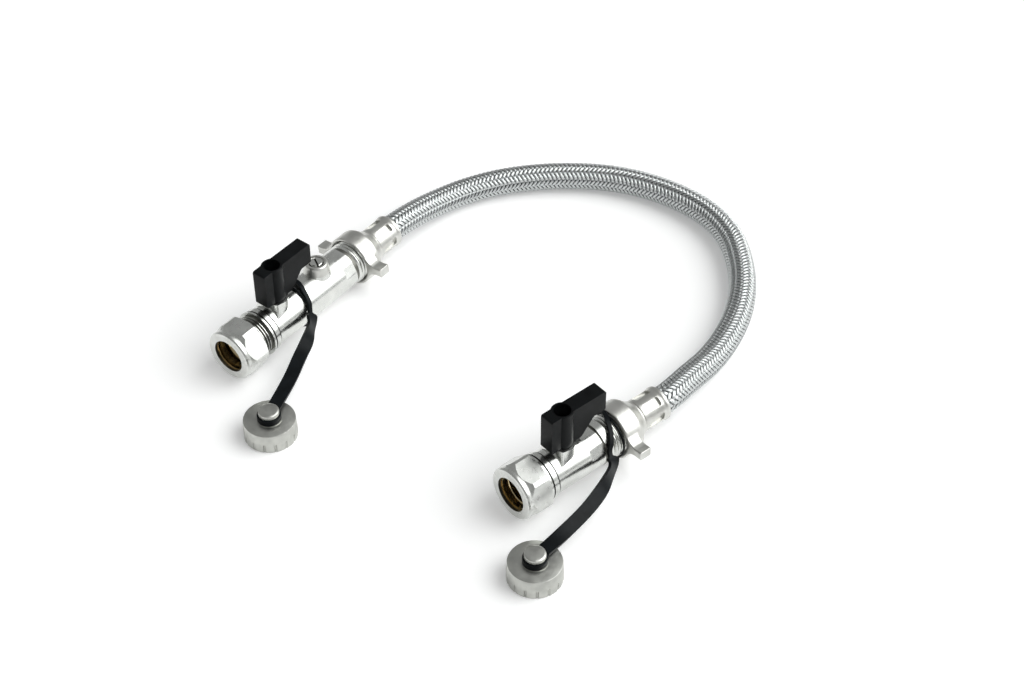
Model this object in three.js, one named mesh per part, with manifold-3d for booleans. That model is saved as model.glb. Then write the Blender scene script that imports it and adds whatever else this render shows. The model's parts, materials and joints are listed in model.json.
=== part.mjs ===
// Boiler filling loop: two quarter-turn ball valves joined by a braided hose.
// Millimetres, +Z up. Each valve is built about its own bore, which runs along +Y
// from the front face of its compression nut to the hose, and is then set on the floor.

import * as THREE from 'three';
import { mergeVertices } from 'three/addons/utils/BufferGeometryUtils.js';
import Module from 'manifold-3d';

const wasm = await Module();
wasm.setup();

// Gaps between pieces
const SEAT_GAP = 0.3; // between two pieces that bear on each other
const THREAD_GAP = 0.4; // radial, between plain cylinders that stand for mating threads
const RUN_GAP = 0.3; // radial, round a piece that turns or slides

// Facets of round pieces
const ROUND = 18; // turned outsides
const INNER_ROUND = 12; // turned inner pieces
const PIN_ROUND = 10; // stems, screws and other thin pins
const SMALL_ROUND = 6; // small holes and grooves
const OVERCUT = 1; // how far a cutter runs past the face that it opens

// How the valves and caps lie on the floor, seen from above
const AXIS_HEIGHT = 12.9;
const LEFT_PLACE = { x: -82.03, y: -43.7, turn: 6.02 };
const RIGHT_PLACE = { x: 68.78, y: -17.45, turn: -6.02 };

// Compression end for a 15 mm copper pipe
const PIPE_R = 7.5;
const SOCKET_R = PIPE_R + 0.1;
const COMPRESSION_THREAD = { r: PIPE_R + 2.3, length: 10 };
const NUT_WALL = 1.8; // between the nut's thread and its flats
const NUT_FLAT_R = COMPRESSION_THREAD.r + THREAD_GAP + NUT_WALL;
const NUT = {
  acrossFlats: 2 * NUT_FLAT_R,
  cornerR: NUT_FLAT_R + 1,
  length: 13.4,
  boreR: PIPE_R + 0.7,
  lip: 1.5,
  faceR: NUT_FLAT_R - 0.7,
  shoulderR: NUT_FLAT_R - 0.1,
  shoulderLength: 3,
  hexChamfer: 1.7,
  edge: 0.7,
};
const OLIVE = { boreR: PIPE_R + 0.05, crownR: 8.9, crownLength: 1 };

// Outside of the valve body: radius and length of each turned step
const MOUTH_R = 9.2;
const UNDERCUT = { r: 9.1, length: 1 };
const FLANGE = { r: 11.5, length: 1.6 };
const FLANGE_GROOVE = { r: 9.7, length: 0.6 };
const FLANGE_RING = { r: 10.9, length: 3.2 };
const BARREL_R = 10.4;
const HEX = { acrossFlats: 20, cornerR: 11.2, coreR: 9.8, edge: 0.7 };
const TAIL_GROOVE = { r: 9.7, length: 1.2 };
const TAIL_THREAD_R = 10.3;
const FEMALE_THREAD_R = TAIL_THREAD_R + THREAD_GAP;
const TAIL_RELIEF = { r: 9.6, length: 1 };
const THREAD_LEAD = 0.6;

// Lengths that differ between the two valves: how far the compression nut is unscrewed, then
// the body's barrel, hexagon, collar and tail thread
const LEFT_BODY = { unscrewed: 3, barrel: 45.7, hex: 7, collar: 0, thread: 8.2 };
const RIGHT_BODY = { unscrewed: 0, barrel: 17.2, hex: 7.5, collar: 3.7, thread: 10 };

// Ball, seats and stem
const BALL_R = 6.5;
const BALL_RINGS = 8;
const FLOW_R = 4.5;
const SEAT = { boreR: 4.7, lipR: 5.25, length: 2.7, wall: 0.3 };
const CAVITY_R = 7.7;
const STOP_WALL = 2.1;
const STEM_FROM_RING = 8; // from the end of the flange ring to the stem's centre
// The block under the lever: half of its outline round the stem, as [along the bore, sideways],
// at its foot inside the barrel and at its top
const BLOCK = {
  foot: 6.5,
  top: 13.5,
  footOutline: [[-6.6, 7.5], [0.5, 6.5], [3.7, 5.3], [5.8, 2.8]],
  topOutline: [[-3.9, 5.3], [0.5, 6.4], [3.6, 5.2], [5.7, 2.8]],
  footFront: [-6.6, 3.6],
  topFront: [-5.2, 2.8],
};
const STEM = { r: 3, shoulderR: 3.9, shoulder: 0.8, square: 4, top: 21, tongue: 2.2, tongueDepth: 1.5 };
const TONGUE_FOOT = BALL_R - STEM.tongueDepth + RUN_GAP;
const STEM_RING = { r: 0.4, grooveWidth: 1.5, floorGap: 0.1 };
const RETAINER = { length: 4, hex: 9.4 };
const LEVER = {
  width: 7.2,
  nose: 8.6,
  reach: 21.6,
  top: 32.4,
  tipDepth: 10.7,
  webFrom: 8,
  webTo: 15,
  hubR: 5,
  wellR: 3.9,
  wellDepth: 7.2,
  corner: 1,
  edge: 0.45,
};
const LEVER_SCREW = { headR: 2.9, head: 1.6, shankR: 1.2, length: 8.5, slot: 0.9, slotDepth: 0.7 };

// Check cartridges and test screw of the left valve
const CAGE = { length: 12, wall: 1.6, endWall: 1.4, doorR: 3.8, windowR: 1.3, windows: 4 };
const POPPET = { r: 4.9, edge: 1, disc: 1.5, crownR: 1.8, pinR: 1.1 };
const SPRING = { r: 2.6, wireR: 0.32, turns: 4, steps: 28, sides: 4 };
const CAGE_FRONT_FROM_STEM = 12.4;
const CAGE_REAR_FROM_STEM = 33.4;
const TEST_FROM_STEM = 28.2;
const TEST_BOSS = { r: 5.8, topR: 5.4, top: 15, boreR: 3.2, orificeR: 1.2 };
const TEST_SCREW = { r: 2.8, length: 5, proud: 0.3, slot: 1, slotDepth: 1.1, sealR: 0.5, sealGap: 0.1 };

// Hose end: wing nut, washer, tail and ferrule, measured from the wing nut's front rim
const ENGAGEMENT = 4.8; // how far the body's tail thread reaches into the wing nut
const WASHER = { thick: 1.8, boreR: 6, r: 9.6 };
const WING_NUT = {
  r: 12.5,
  rimR: 12.1,
  rim: 0.6,
  barrel: 9.4,
  shoulder: 1.2,
  shoulderDrop: 0.5,
  length: 14.9,
  coneR: 9.4,
  cone: 2.4,
  neck: 0.9,
  rearR: 8.3,
  entryR: 11.3,
  entry: 0.9,
  chamberR: 10,
};
const WING = {
  tipR: 20.5,
  tipWidth: 3.6,
  rootWidth: 8.4,
  rootR: 11.4,
  bendR: 14,
  bendWidth: 4.2,
  straightTo: 17.5,
  from: 1.2,
  depth: 6.2,
  edge: 0.5,
};
const TAIL = { flangeR: 9.4, flange: 2.2, neckR: 6, shankR: 4.4, boreR: 3.2 };
const FERRULE = {
  length: 14.2,
  r: 7.7,
  flareR: 8.2,
  flare: 2.2,
  frontWall: 1.2,
  lead: 0.6,
  flatDepth: 0.65,
  flatWidth: 5.6,
  flatLength: 8.6,
  flatFrom: 2,
  flats: 6,
};

// Hose
const HOSE_R = 6.7;
const HOSE_FIT = 0.2;
const HOSE_LEAD = 5; // straight run out of each ferrule
const HOSE_SIDES = 10;
const HOSE_STEPS = 26;
// Points between the two ferrules, chosen by hand along the centre of the hose
const HOSE_ROUTE = [
  [-95.8, 87.8, 10.6],
  [-96.1, 102.1, 8.2],
  [-93.5, 118.6, 6.9],
  [-86.7, 135.2, 6.75],
  [-76.3, 151.0, 6.75],
  [-62.2, 166.0, 6.75],
  [-46.2, 178.0, 6.75],
  [-28.7, 185.6, 6.75],
  [-10.7, 189.2, 6.75],
  [6.8, 188.8, 6.75],
  [23.8, 183.2, 6.75],
  [38.8, 172.4, 6.75],
  [51.9, 158.6, 6.75],
  [62.3, 142.2, 6.75],
  [69.5, 124.2, 6.75],
  [73.9, 106.6, 6.9],
  [76.2, 89.6, 8.2],
  [77.2, 76.2, 10.6],
];

// Blanking cap
const CAP = {
  r: 12.2,
  topR: 11.6,
  height: 9.6,
  band: 7.2,
  edge: 0.45,
  boreDepth: 7.2,
  grooves: 16,
  grooveR: 0.65,
  grooveTop: 4.2,
};
const CAP_SEAL = { thick: 1.7, boreR: 5 };
const STUD = { footR: 5.6, foot: 0.3, neckR: 2.9, headR: 4.7, head: 2.2, crown: 0.7 };

// Strap
const EYE = { r: 5.3, thick: 2.2 };
const BAND = { width: 6.2, thick: 1.5, stripWidth: 2, shoulderShift: 1 };
// Where the band widens and turns flat, as shares of its length past the end of the wrap
const BAND_WIDENS = { from: 0.03, to: 0.06 };
const BAND_TURNS = 0.4;
const STRAP_RING = { r: 0.65, lift: 0.95, sides: 5 };
const STRAP_STEPS = 32;
const ROUTE_SAMPLES = 20; // between two points of the strap's route
const STRIP_LIFT = 1.5;
// The radius that each ring sits on and its place back from the wing nut's rim, then the strip's
// wrap over the valve as [angle from +X, ahead of the ring], and the free part of the band as
// [sideways from the bore, ahead of the ring, above the floor]
const LEFT_STRAP = {
  seatR: BARREL_R,
  fromRim: 39.15,
  wrap: [[150, 0], [120, 2.6], [95, 3.6], [80, 3.2], [62, 1.9], [45, 1], [32, 0.4], [21, -0.6]],
  band: [[14.1, -3.55, 13.6], [18.2, -9.85, 12.4], [24.3, -22.55, 11.4], [30.6, -36.15, 11.2]],
  cap: [39.1, -58.95],
};
const RIGHT_STRAP = {
  seatR: TAIL_THREAD_R,
  fromRim: 1.3,
  wrap: [[150, 0], [120, 0], [100, -0.2], [80, -2.1], [63, -3.6], [48, -5.1], [34, -6.8], [20, -8.6]],
  band: [[14.8, -10.4, 13.6], [19.9, -18.8, 12.4], [25.3, -32.6, 11.4], [29, -48.8, 11.2]],
  cap: [32.4, -68.8],
};

// Turn of the loose pieces about the bore, in degrees
const LEFT_TURN = { nut: 62, wings: -3 };
const RIGHT_TURN = { nut: 46, wings: -12 };

const MATERIALS = {
  nickel: { color: 0xd6d4cc, roughness: 0.22, metalness: 1 },
  satin: { color: 0xb9b8b0, roughness: 0.42, metalness: 1 },
  cap: { color: 0x9b9a92, roughness: 0.5, metalness: 1 },
  brass: { color: 0xb08d4a, roughness: 0.3, metalness: 1 },
  steel: { color: 0xc4c6c8, roughness: 0.25, metalness: 1 },
  ptfe: { color: 0xf0efe8, roughness: 0.5, metalness: 0 },
  handle: { color: 0x1b1d1f, roughness: 0.45, metalness: 0 },
  strap: { color: 0x24272a, roughness: 0.5, metalness: 0 },
  rubber: { color: 0x1a1a1a, roughness: 0.7, metalness: 0 },
  plastic: { color: 0xdcdad0, roughness: 0.5, metalness: 0 },
  hose: { color: 0xb4b6b8, roughness: 0.35, metalness: 1 },
};

// Solids

const radians = THREE.MathUtils.degToRad;

function signedVolume(position, index) {
  const a = new THREE.Vector3();
  const b = new THREE.Vector3();
  const c = new THREE.Vector3();
  let volume = 0;
  for (let i = 0; i < index.length; i += 3) {
    a.fromBufferAttribute(position, index[i]);
    b.fromBufferAttribute(position, index[i + 1]);
    c.fromBufferAttribute(position, index[i + 2]);
    volume += a.dot(b.cross(c)) / 6;
  }
  return volume;
}

// A closed geometry as a solid, with its poles' empty triangles dropped and its faces turned out
function solid(geometry) {
  const bare = geometry.clone();
  bare.deleteAttribute('normal');
  bare.deleteAttribute('uv');
  const merged = mergeVertices(bare, 1e-4);
  const source = merged.index.array;
  const index = [];
  for (let i = 0; i < source.length; i += 3) {
    const [a, b, c] = [source[i], source[i + 1], source[i + 2]];
    if (a !== b && b !== c && c !== a) index.push(a, b, c);
  }
  if (signedVolume(merged.attributes.position, index) < 0) index.reverse();
  return new wasm.Manifold(new wasm.Mesh({
    numProp: 3,
    vertProperties: new Float32Array(merged.attributes.position.array),
    triVerts: new Uint32Array(index),
  }));
}

function geometryOf(body) {
  const mesh = body.getMesh();
  const geometry = new THREE.BufferGeometry();
  geometry.setAttribute('position', new THREE.BufferAttribute(mesh.vertProperties, 3));
  geometry.setIndex(new THREE.BufferAttribute(mesh.triVerts, 1));
  geometry.computeVertexNormals();
  return geometry;
}

// A turned piece about +Y from its section, as [radius, height] points
function turnedGeometry(section, sides) {
  const points = section.map(([r, y]) => new THREE.Vector2(r, y));
  const last = points[points.length - 1];
  if (points[0].x > 0 || last.x > 0) points.push(points[0].clone());
  return new THREE.LatheGeometry(points, sides);
}

function turned(section, sides = ROUND) {
  return solid(turnedGeometry(section, sides));
}

// The same about +Z
function turnedUp(section, sides = ROUND, x = 0, y = 0) {
  return solid(turnedGeometry(section, sides).rotateX(Math.PI / 2).translate(x, y, 0));
}

// A section of one outer and one inner radius between two heights
function tube(inner, outer, from, to) {
  return [[inner, from], [outer, from], [outer, to], [inner, to]];
}

function rod(r, from, to) {
  return [[0, from], [r, from], [r, to], [0, to]];
}

// A box by its middle and its size
function block(x, y, z, width, length, height) {
  return solid(new THREE.BoxGeometry(width, length, height).translate(x, y, z));
}

// A hexagonal bar along +Y with one corner at the given angle from +X
function hexBar(acrossFlats, from, to, corner = 0) {
  const cornerR = acrossFlats / Math.sqrt(3);
  const bar = new THREE.CylinderGeometry(cornerR, cornerR, to - from, 6);
  bar.rotateY(Math.PI / 2 - radians(corner)).translate(0, (from + to) / 2, 0);
  return solid(bar);
}

// A closed form from sections with equally many corners, each corner as [x, y, z]
function lofted(sections) {
  const corners = sections[0].length;
  const index = [];
  for (let i = 0; i + 1 < sections.length; i += 1) {
    for (let j = 0; j < corners; j += 1) {
      const a = corners * i + j;
      const b = corners * i + ((j + 1) % corners);
      index.push(a, b, b + corners, a, b + corners, a + corners);
    }
  }
  const last = corners * (sections.length - 1);
  for (let j = 1; j + 1 < corners; j += 1) {
    index.push(0, j + 1, j, last, last + j, last + j + 1);
  }
  const geometry = new THREE.BufferGeometry();
  geometry.setAttribute('position', new THREE.Float32BufferAttribute(sections.flat(2), 3));
  geometry.setIndex(index);
  return geometry;
}

// A closed outline with its corners rounded
function roundedShape(corners, radius) {
  const shape = new THREE.Shape();
  corners.forEach(([x, y], i) => {
    const corner = new THREE.Vector2(x, y);
    const before = new THREE.Vector2(...corners[(i + corners.length - 1) % corners.length]);
    const after = new THREE.Vector2(...corners[(i + 1) % corners.length]);
    const start = corner.clone().add(before.sub(corner).setLength(radius));
    const end = corner.clone().add(after.sub(corner).setLength(radius));
    if (i === 0) shape.moveTo(start.x, start.y);
    else shape.lineTo(start.x, start.y);
    shape.quadraticCurveTo(corner.x, corner.y, end.x, end.y);
  });
  shape.closePath();
  return shape;
}

// Stations along the bore of one valve, all from the front face of its nut
function stationsOf(body) {
  const cone = SEAT_GAP * Math.SQRT2;
  const at = {};
  at.oliveFront = NUT.lip + cone;
  at.crownFront = at.oliveFront + OLIVE.crownR - NUT.boreR;
  at.crownRear = at.crownFront + OLIVE.crownLength;
  at.oliveRear = at.crownRear + OLIVE.crownR - NUT.boreR;
  at.mouth = at.crownRear + OLIVE.crownR - MOUTH_R + cone + body.unscrewed;
  at.socket = at.mouth + MOUTH_R - SOCKET_R;
  at.flange = at.mouth + COMPRESSION_THREAD.length + UNDERCUT.length;
  at.ringEnd = at.flange + FLANGE.length + FLANGE_GROOVE.length + FLANGE_RING.length;
  at.stem = at.ringEnd + STEM_FROM_RING;
  at.seatReach = Math.sqrt((BALL_R + SEAT.wall) ** 2 - SEAT.boreR ** 2) + SEAT.length;
  at.cavity = at.stem - at.seatReach - SEAT_GAP;
  at.stop = at.cavity - STOP_WALL;
  at.hex = at.ringEnd + body.barrel;
  at.hexEnd = at.hex + body.hex;
  at.collar = at.hexEnd + TAIL_GROOVE.length;
  at.relief = at.collar + body.collar;
  at.thread = at.relief + TAIL_RELIEF.length;
  at.end = at.thread + body.thread;
  at.rim = at.end - ENGAGEMENT;
  at.washer = at.end + SEAT_GAP;
  at.tail = at.washer + WASHER.thick + SEAT_GAP;
  at.tailNeck = at.tail + TAIL.flange;
  at.nutEnd = at.rim + WING_NUT.length;
  at.ferrule = at.nutEnd + SEAT_GAP;
  at.hose = at.ferrule + FERRULE.length;
  return at;
}

// Pieces of the compression end

function compressionNut(turn) {
  const { boreR, lip, faceR, shoulderR, shoulderLength, cornerR, hexChamfer, length, edge } = NUT;
  const threadR = COMPRESSION_THREAD.r + THREAD_GAP;
  const round = turned([
    [boreR, 0],
    [faceR, 0],
    [shoulderR, edge],
    [shoulderR, shoulderLength],
    [cornerR, shoulderLength + hexChamfer],
    [cornerR, length - edge],
    [cornerR - 2 * edge, length],
    [threadR, length],
    [threadR, lip + threadR - boreR],
    [boreR, lip],
  ]);
  return round.intersect(hexBar(NUT.acrossFlats, -edge, length + edge, turn));
}

function olive(at) {
  return turned([
    [OLIVE.boreR, at.oliveFront],
    [NUT.boreR, at.oliveFront],
    [OLIVE.crownR, at.crownFront],
    [OLIVE.crownR, at.crownRear],
    [NUT.boreR, at.oliveRear],
    [OLIVE.boreR, at.oliveRear],
  ]);
}

// Valve body

function hexSection(at) {
  const { coreR, cornerR, edge, acrossFlats } = HEX;
  const band = turned([
    [coreR - edge, at.hex],
    [cornerR - edge, at.hex],
    [cornerR, at.hex + edge],
    [cornerR, at.hexEnd - edge],
    [cornerR - edge, at.hexEnd],
    [coreR - edge, at.hexEnd],
  ]);
  return band.intersect(hexBar(acrossFlats, at.hex - edge, at.hexEnd + edge, 0));
}

function valveBody(at, body) {
  const outside = [
    [MOUTH_R, at.mouth],
    [COMPRESSION_THREAD.r, at.mouth + THREAD_LEAD],
    [COMPRESSION_THREAD.r, at.flange - UNDERCUT.length],
    [UNDERCUT.r, at.flange - UNDERCUT.length],
    [UNDERCUT.r, at.flange],
    [FLANGE.r, at.flange],
    [FLANGE.r, at.flange + FLANGE.length],
    [FLANGE_GROOVE.r, at.flange + FLANGE.length],
    [FLANGE_GROOVE.r, at.ringEnd - FLANGE_RING.length],
    [FLANGE_RING.r, at.ringEnd - FLANGE_RING.length],
    [FLANGE_RING.r, at.ringEnd],
    [BARREL_R, at.ringEnd],
    [BARREL_R, at.hex],
    [HEX.coreR, at.hex],
    [HEX.coreR, at.hexEnd],
    [TAIL_GROOVE.r, at.hexEnd],
    [TAIL_GROOVE.r, at.collar],
  ];
  if (body.collar > 0) outside.push([BARREL_R, at.collar], [BARREL_R, at.relief]);
  outside.push(
    [TAIL_RELIEF.r, at.relief],
    [TAIL_RELIEF.r, at.thread],
    [TAIL_THREAD_R, at.thread],
    [TAIL_THREAD_R, at.end - THREAD_LEAD],
    [TAIL_THREAD_R - THREAD_LEAD, at.end],
  );
  const inside = [
    [CAVITY_R, at.end],
    [CAVITY_R, at.cavity],
    [FLOW_R, at.cavity],
    [FLOW_R, at.stop],
    [SOCKET_R, at.stop],
    [SOCKET_R, at.socket],
  ];
  const shoulderTop = CAVITY_R + SEAT_GAP;
  return turned([...outside, ...inside])
    .add(hexSection(at))
    .add(leverBlock(at))
    .subtract(turned(rod(CAVITY_R, at.cavity, at.hex)))
    .subtract(turnedUp(rod(STEM.r + RUN_GAP, 0, BLOCK.top + OVERCUT), INNER_ROUND, 0, at.stem))
    .subtract(turnedUp(rod(STEM.shoulderR + RUN_GAP, 0, shoulderTop), INNER_ROUND, 0, at.stem));
}

// The block's outline goes from a flared square front at its foot to a nearly round top
function leverBlock(at) {
  const outlineOf = (half, front) => {
    const one = [front, ...half];
    return [...one, ...one.map(([y, x]) => [y, -x]).reverse()];
  };
  const foot = outlineOf(BLOCK.footOutline, BLOCK.footFront);
  const top = outlineOf(BLOCK.topOutline, BLOCK.topFront);
  const sections = [[foot, BLOCK.foot], [top, BLOCK.top]];
  return solid(lofted(sections.map(([outline, z]) => outline.map(([y, x]) => [x, at.stem + y, z]))));
}

// Boss for the test screw, with its threaded bore and the small orifice into the waterway
function withTestBoss(body, at) {
  const y = at.stem + TEST_FROM_STEM;
  const foot = CAVITY_R + SEAT_GAP;
  const seat = TEST_BOSS.top - TEST_SCREW.length - SEAT_GAP;
  const { r, topR, top, boreR, orificeR } = TEST_BOSS;
  const section = [[0, foot], [r, foot], [topR, top - THREAD_LEAD], [topR - THREAD_LEAD, top], [0, top]];
  return body
    .add(turnedUp(section, ROUND, 0, y))
    .subtract(turnedUp(rod(boreR, seat, top + THREAD_LEAD), PIN_ROUND, 0, y))
    .subtract(turnedUp(rod(orificeR, 0, top), PIN_ROUND, 0, y));
}

// Ball and what holds and turns it

function ball(at) {
  const slot = STEM.tongue + 2 * RUN_GAP;
  const slotFloor = TONGUE_FOOT - RUN_GAP;
  const depth = 2 * BALL_R;
  return solid(new THREE.SphereGeometry(BALL_R, INNER_ROUND, BALL_RINGS).rotateX(Math.PI / 2))
    .subtract(turned(rod(FLOW_R, -depth, depth), INNER_ROUND))
    .subtract(block(0, 0, slotFloor + depth / 2, 2 * depth, slot, depth))
    .translate([0, at.stem, 0]);
}

function seat(at, side) {
  const sphere = BALL_R + SEAT.wall;
  const reach = (r) => Math.sqrt(sphere ** 2 - r ** 2);
  const outer = CAVITY_R - SEAT_GAP;
  const middle = (SEAT.boreR + SEAT.lipR) / 2;
  const section = [
    [SEAT.boreR, reach(SEAT.boreR)],
    [middle, reach(middle)],
    [SEAT.lipR, reach(SEAT.lipR)],
    [outer, reach(SEAT.lipR)],
    [outer, at.seatReach],
    [SEAT.boreR, at.seatReach],
  ];
  return turned(section.map(([r, y]) => [r, at.stem + side * y]), INNER_ROUND);
}

function seatRetainer(at) {
  const from = at.stem + at.seatReach + SEAT_GAP;
  const to = from + RETAINER.length;
  return turned(rod(CAVITY_R - SEAT_GAP, from, to), INNER_ROUND)
    .subtract(hexBar(RETAINER.hex, from - OVERCUT, to + OVERCUT));
}

function stem(at) {
  const shoulder = CAVITY_R - STEM.shoulder;
  const ringFoot = (CAVITY_R + BLOCK.top) / 2 - STEM_RING.grooveWidth / 2;
  const grooveR = STEM.r - 2 * STEM_RING.r - STEM_RING.floorGap;
  const squareFoot = BLOCK.top + SEAT_GAP;
  const round = turnedUp([
    [0, shoulder],
    [STEM.shoulderR, shoulder],
    [STEM.shoulderR, CAVITY_R],
    [STEM.r, CAVITY_R],
    [STEM.r, ringFoot],
    [grooveR, ringFoot],
    [grooveR, ringFoot + STEM_RING.grooveWidth],
    [STEM.r, ringFoot + STEM_RING.grooveWidth],
    [STEM.r, squareFoot],
    [0, squareFoot],
  ], PIN_ROUND, 0, at.stem);
  const tongueTop = shoulder + STEM.shoulder / 2;
  const tongueSize = tongueTop - TONGUE_FOOT;
  const tongue = block(0, at.stem, TONGUE_FOOT + tongueSize / 2, 2 * STEM.r, STEM.tongue, tongueSize);
  const squareSize = STEM.top - squareFoot + STEM.shoulder;
  const square = block(0, at.stem, STEM.top - squareSize / 2, STEM.square, STEM.square, squareSize);
  const tapping = rod(LEVER_SCREW.shankR + RUN_GAP, screwTip() - RUN_GAP, STEM.top + OVERCUT);
  return round.add(tongue).add(square).subtract(turnedUp(tapping, PIN_ROUND, 0, at.stem));
}

function stemRing(at) {
  const middle = (CAVITY_R + BLOCK.top) / 2;
  return turnedUp(ringSection(STEM.r - STEM_RING.r, middle, STEM_RING.r), INNER_ROUND, 0, at.stem);
}

// The many-sided section of a rubber ring
function ringSection(r, y, wireR, sides = 5) {
  const section = [];
  for (let i = 0; i < sides; i += 1) {
    const angle = (2 * Math.PI * i) / sides;
    section.push([r + wireR * Math.cos(angle), y + wireR * Math.sin(angle)]);
  }
  return section;
}

// Lever

function wellFloor() {
  return LEVER.top - LEVER.wellDepth - LEVER_SCREW.head;
}

function screwTip() {
  return wellFloor() + SEAT_GAP - LEVER_SCREW.length;
}

function lever(at) {
  const bottom = BLOCK.top + SEAT_GAP;
  const tip = LEVER.top - LEVER.tipDepth;
  const side = roundedShape([
    [-LEVER.nose + LEVER.edge, bottom + LEVER.edge],
    [LEVER.webFrom, bottom + LEVER.edge],
    [LEVER.webTo, tip + LEVER.edge],
    [LEVER.reach - LEVER.edge, tip + LEVER.edge],
    [LEVER.reach - LEVER.edge, LEVER.top - LEVER.edge],
    [-LEVER.nose + LEVER.edge, LEVER.top - LEVER.edge],
  ], LEVER.corner);
  const bar = new THREE.ExtrudeGeometry(side, {
    depth: LEVER.width - 2 * LEVER.edge,
    bevelThickness: LEVER.edge,
    bevelSize: LEVER.edge,
    bevelSegments: 1,
    curveSegments: 2,
  });
  // The outline lies in XY and is raised along Z, so its turn brings Y up and Z across
  bar.rotateX(Math.PI / 2).rotateZ(Math.PI / 2).translate(-LEVER.width / 2 + LEVER.edge, at.stem, 0);
  const hub = turnedUp([
    [0, bottom],
    [LEVER.hubR, bottom],
    [LEVER.hubR, LEVER.top - LEVER.edge],
    [LEVER.hubR - LEVER.edge, LEVER.top],
    [0, LEVER.top],
  ], ROUND, 0, at.stem);
  const socket = STEM.square + 2 * SEAT_GAP;
  const socketFrom = bottom - OVERCUT;
  const socketDepth = STEM.top + SEAT_GAP - socketFrom;
  return solid(bar)
    .add(hub)
    .subtract(turnedUp(rod(LEVER.wellR, wellFloor(), LEVER.top + OVERCUT), INNER_ROUND, 0, at.stem))
    .subtract(turnedUp(rod(LEVER_SCREW.shankR + RUN_GAP, bottom, LEVER.top), PIN_ROUND, 0, at.stem))
    .subtract(block(0, at.stem, socketFrom + socketDepth / 2, socket, socket, socketDepth));
}

function leverScrew(at) {
  const { headR, shankR, slot, slotDepth } = LEVER_SCREW;
  const tip = screwTip();
  const head = wellFloor() + SEAT_GAP;
  const top = head + LEVER_SCREW.head;
  const section = [[0, tip], [shankR, tip], [shankR, head], [headR, head], [headR, top], [0, top]];
  return turnedUp(section, PIN_ROUND, 0, at.stem)
    .subtract(block(0, at.stem, top, 3 * headR, slot, 2 * slotDepth));
}

// Check cartridges

function checkCage(from) {
  const outer = CAVITY_R - SEAT_GAP;
  const to = from + CAGE.length;
  const inner = outer - CAGE.wall;
  const guide = POPPET.pinR + RUN_GAP;
  let cage = turned([
    [CAGE.doorR, from],
    [outer, from],
    [outer, to],
    [guide, to],
    [guide, to - CAGE.endWall],
    [inner, to - CAGE.endWall],
    [inner, from + CAGE.endWall],
    [CAGE.doorR, from + CAGE.endWall],
  ], INNER_ROUND);
  const middle = (guide + inner) / 2;
  for (let i = 0; i < CAGE.windows; i += 1) {
    const angle = (2 * Math.PI * i) / CAGE.windows;
    const window = turned(rod(CAGE.windowR, to - CAGE.endWall - OVERCUT, to + OVERCUT), SMALL_ROUND);
    cage = cage.subtract(window.translate([middle * Math.cos(angle), 0, middle * Math.sin(angle)]));
  }
  return cage;
}

function poppet(from) {
  const disc = from + CAGE.endWall + SEAT_GAP;
  const back = disc + POPPET.disc;
  const end = from + CAGE.length;
  const { r, edge, crownR, pinR } = POPPET;
  return turned([
    [0, disc],
    [r, disc],
    [r, disc + edge],
    [crownR, back],
    [pinR, back],
    [pinR, end],
    [0, end],
  ], INNER_ROUND);
}

class Helix extends THREE.Curve {
  constructor(r, from, to, turns) {
    super();
    Object.assign(this, { r, from, to, turns });
  }

  getPoint(t, target = new THREE.Vector3()) {
    const angle = 2 * Math.PI * this.turns * t;
    const y = this.from + (this.to - this.from) * t;
    return target.set(this.r * Math.cos(angle), y, this.r * Math.sin(angle));
  }
}

function circleShape(r, sides) {
  const points = [];
  for (let i = 0; i < sides; i += 1) {
    const angle = (2 * Math.PI * i) / sides;
    points.push(new THREE.Vector2(r * Math.cos(angle), r * Math.sin(angle)));
  }
  return new THREE.Shape(points);
}

function checkSpring(from) {
  const { r, wireR, turns, steps, sides } = SPRING;
  const first = from + CAGE.endWall + SEAT_GAP + POPPET.disc + wireR + SEAT_GAP;
  const last = from + CAGE.length - CAGE.endWall - wireR - SEAT_GAP;
  const path = new Helix(r, first, last, turns);
  const wire = circleShape(wireR, sides);
  return solid(new THREE.ExtrudeGeometry(wire, { steps, extrudePath: path, bevelEnabled: false }));
}

function testScrew(at) {
  const y = at.stem + TEST_FROM_STEM;
  const top = TEST_BOSS.top + TEST_SCREW.proud;
  const foot = TEST_BOSS.top - TEST_SCREW.length;
  const { r, slot, slotDepth, sealR } = TEST_SCREW;
  const neckR = r - 2 * sealR;
  const neck = foot + 3 * sealR;
  return turnedUp([[0, foot], [neckR, foot], [neckR, neck], [r, neck], [r, top], [0, top]], PIN_ROUND, 0, y)
    .subtract(block(0, y, top, 3 * r, slot, 2 * slotDepth));
}

function testScrewSeal(at) {
  const { r, sealR, sealGap, length } = TEST_SCREW;
  const middle = TEST_BOSS.top - length + 1.5 * sealR;
  return turnedUp(ringSection(r - sealR, middle, sealR - sealGap), PIN_ROUND, 0, at.stem + TEST_FROM_STEM);
}

// Hose end

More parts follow.
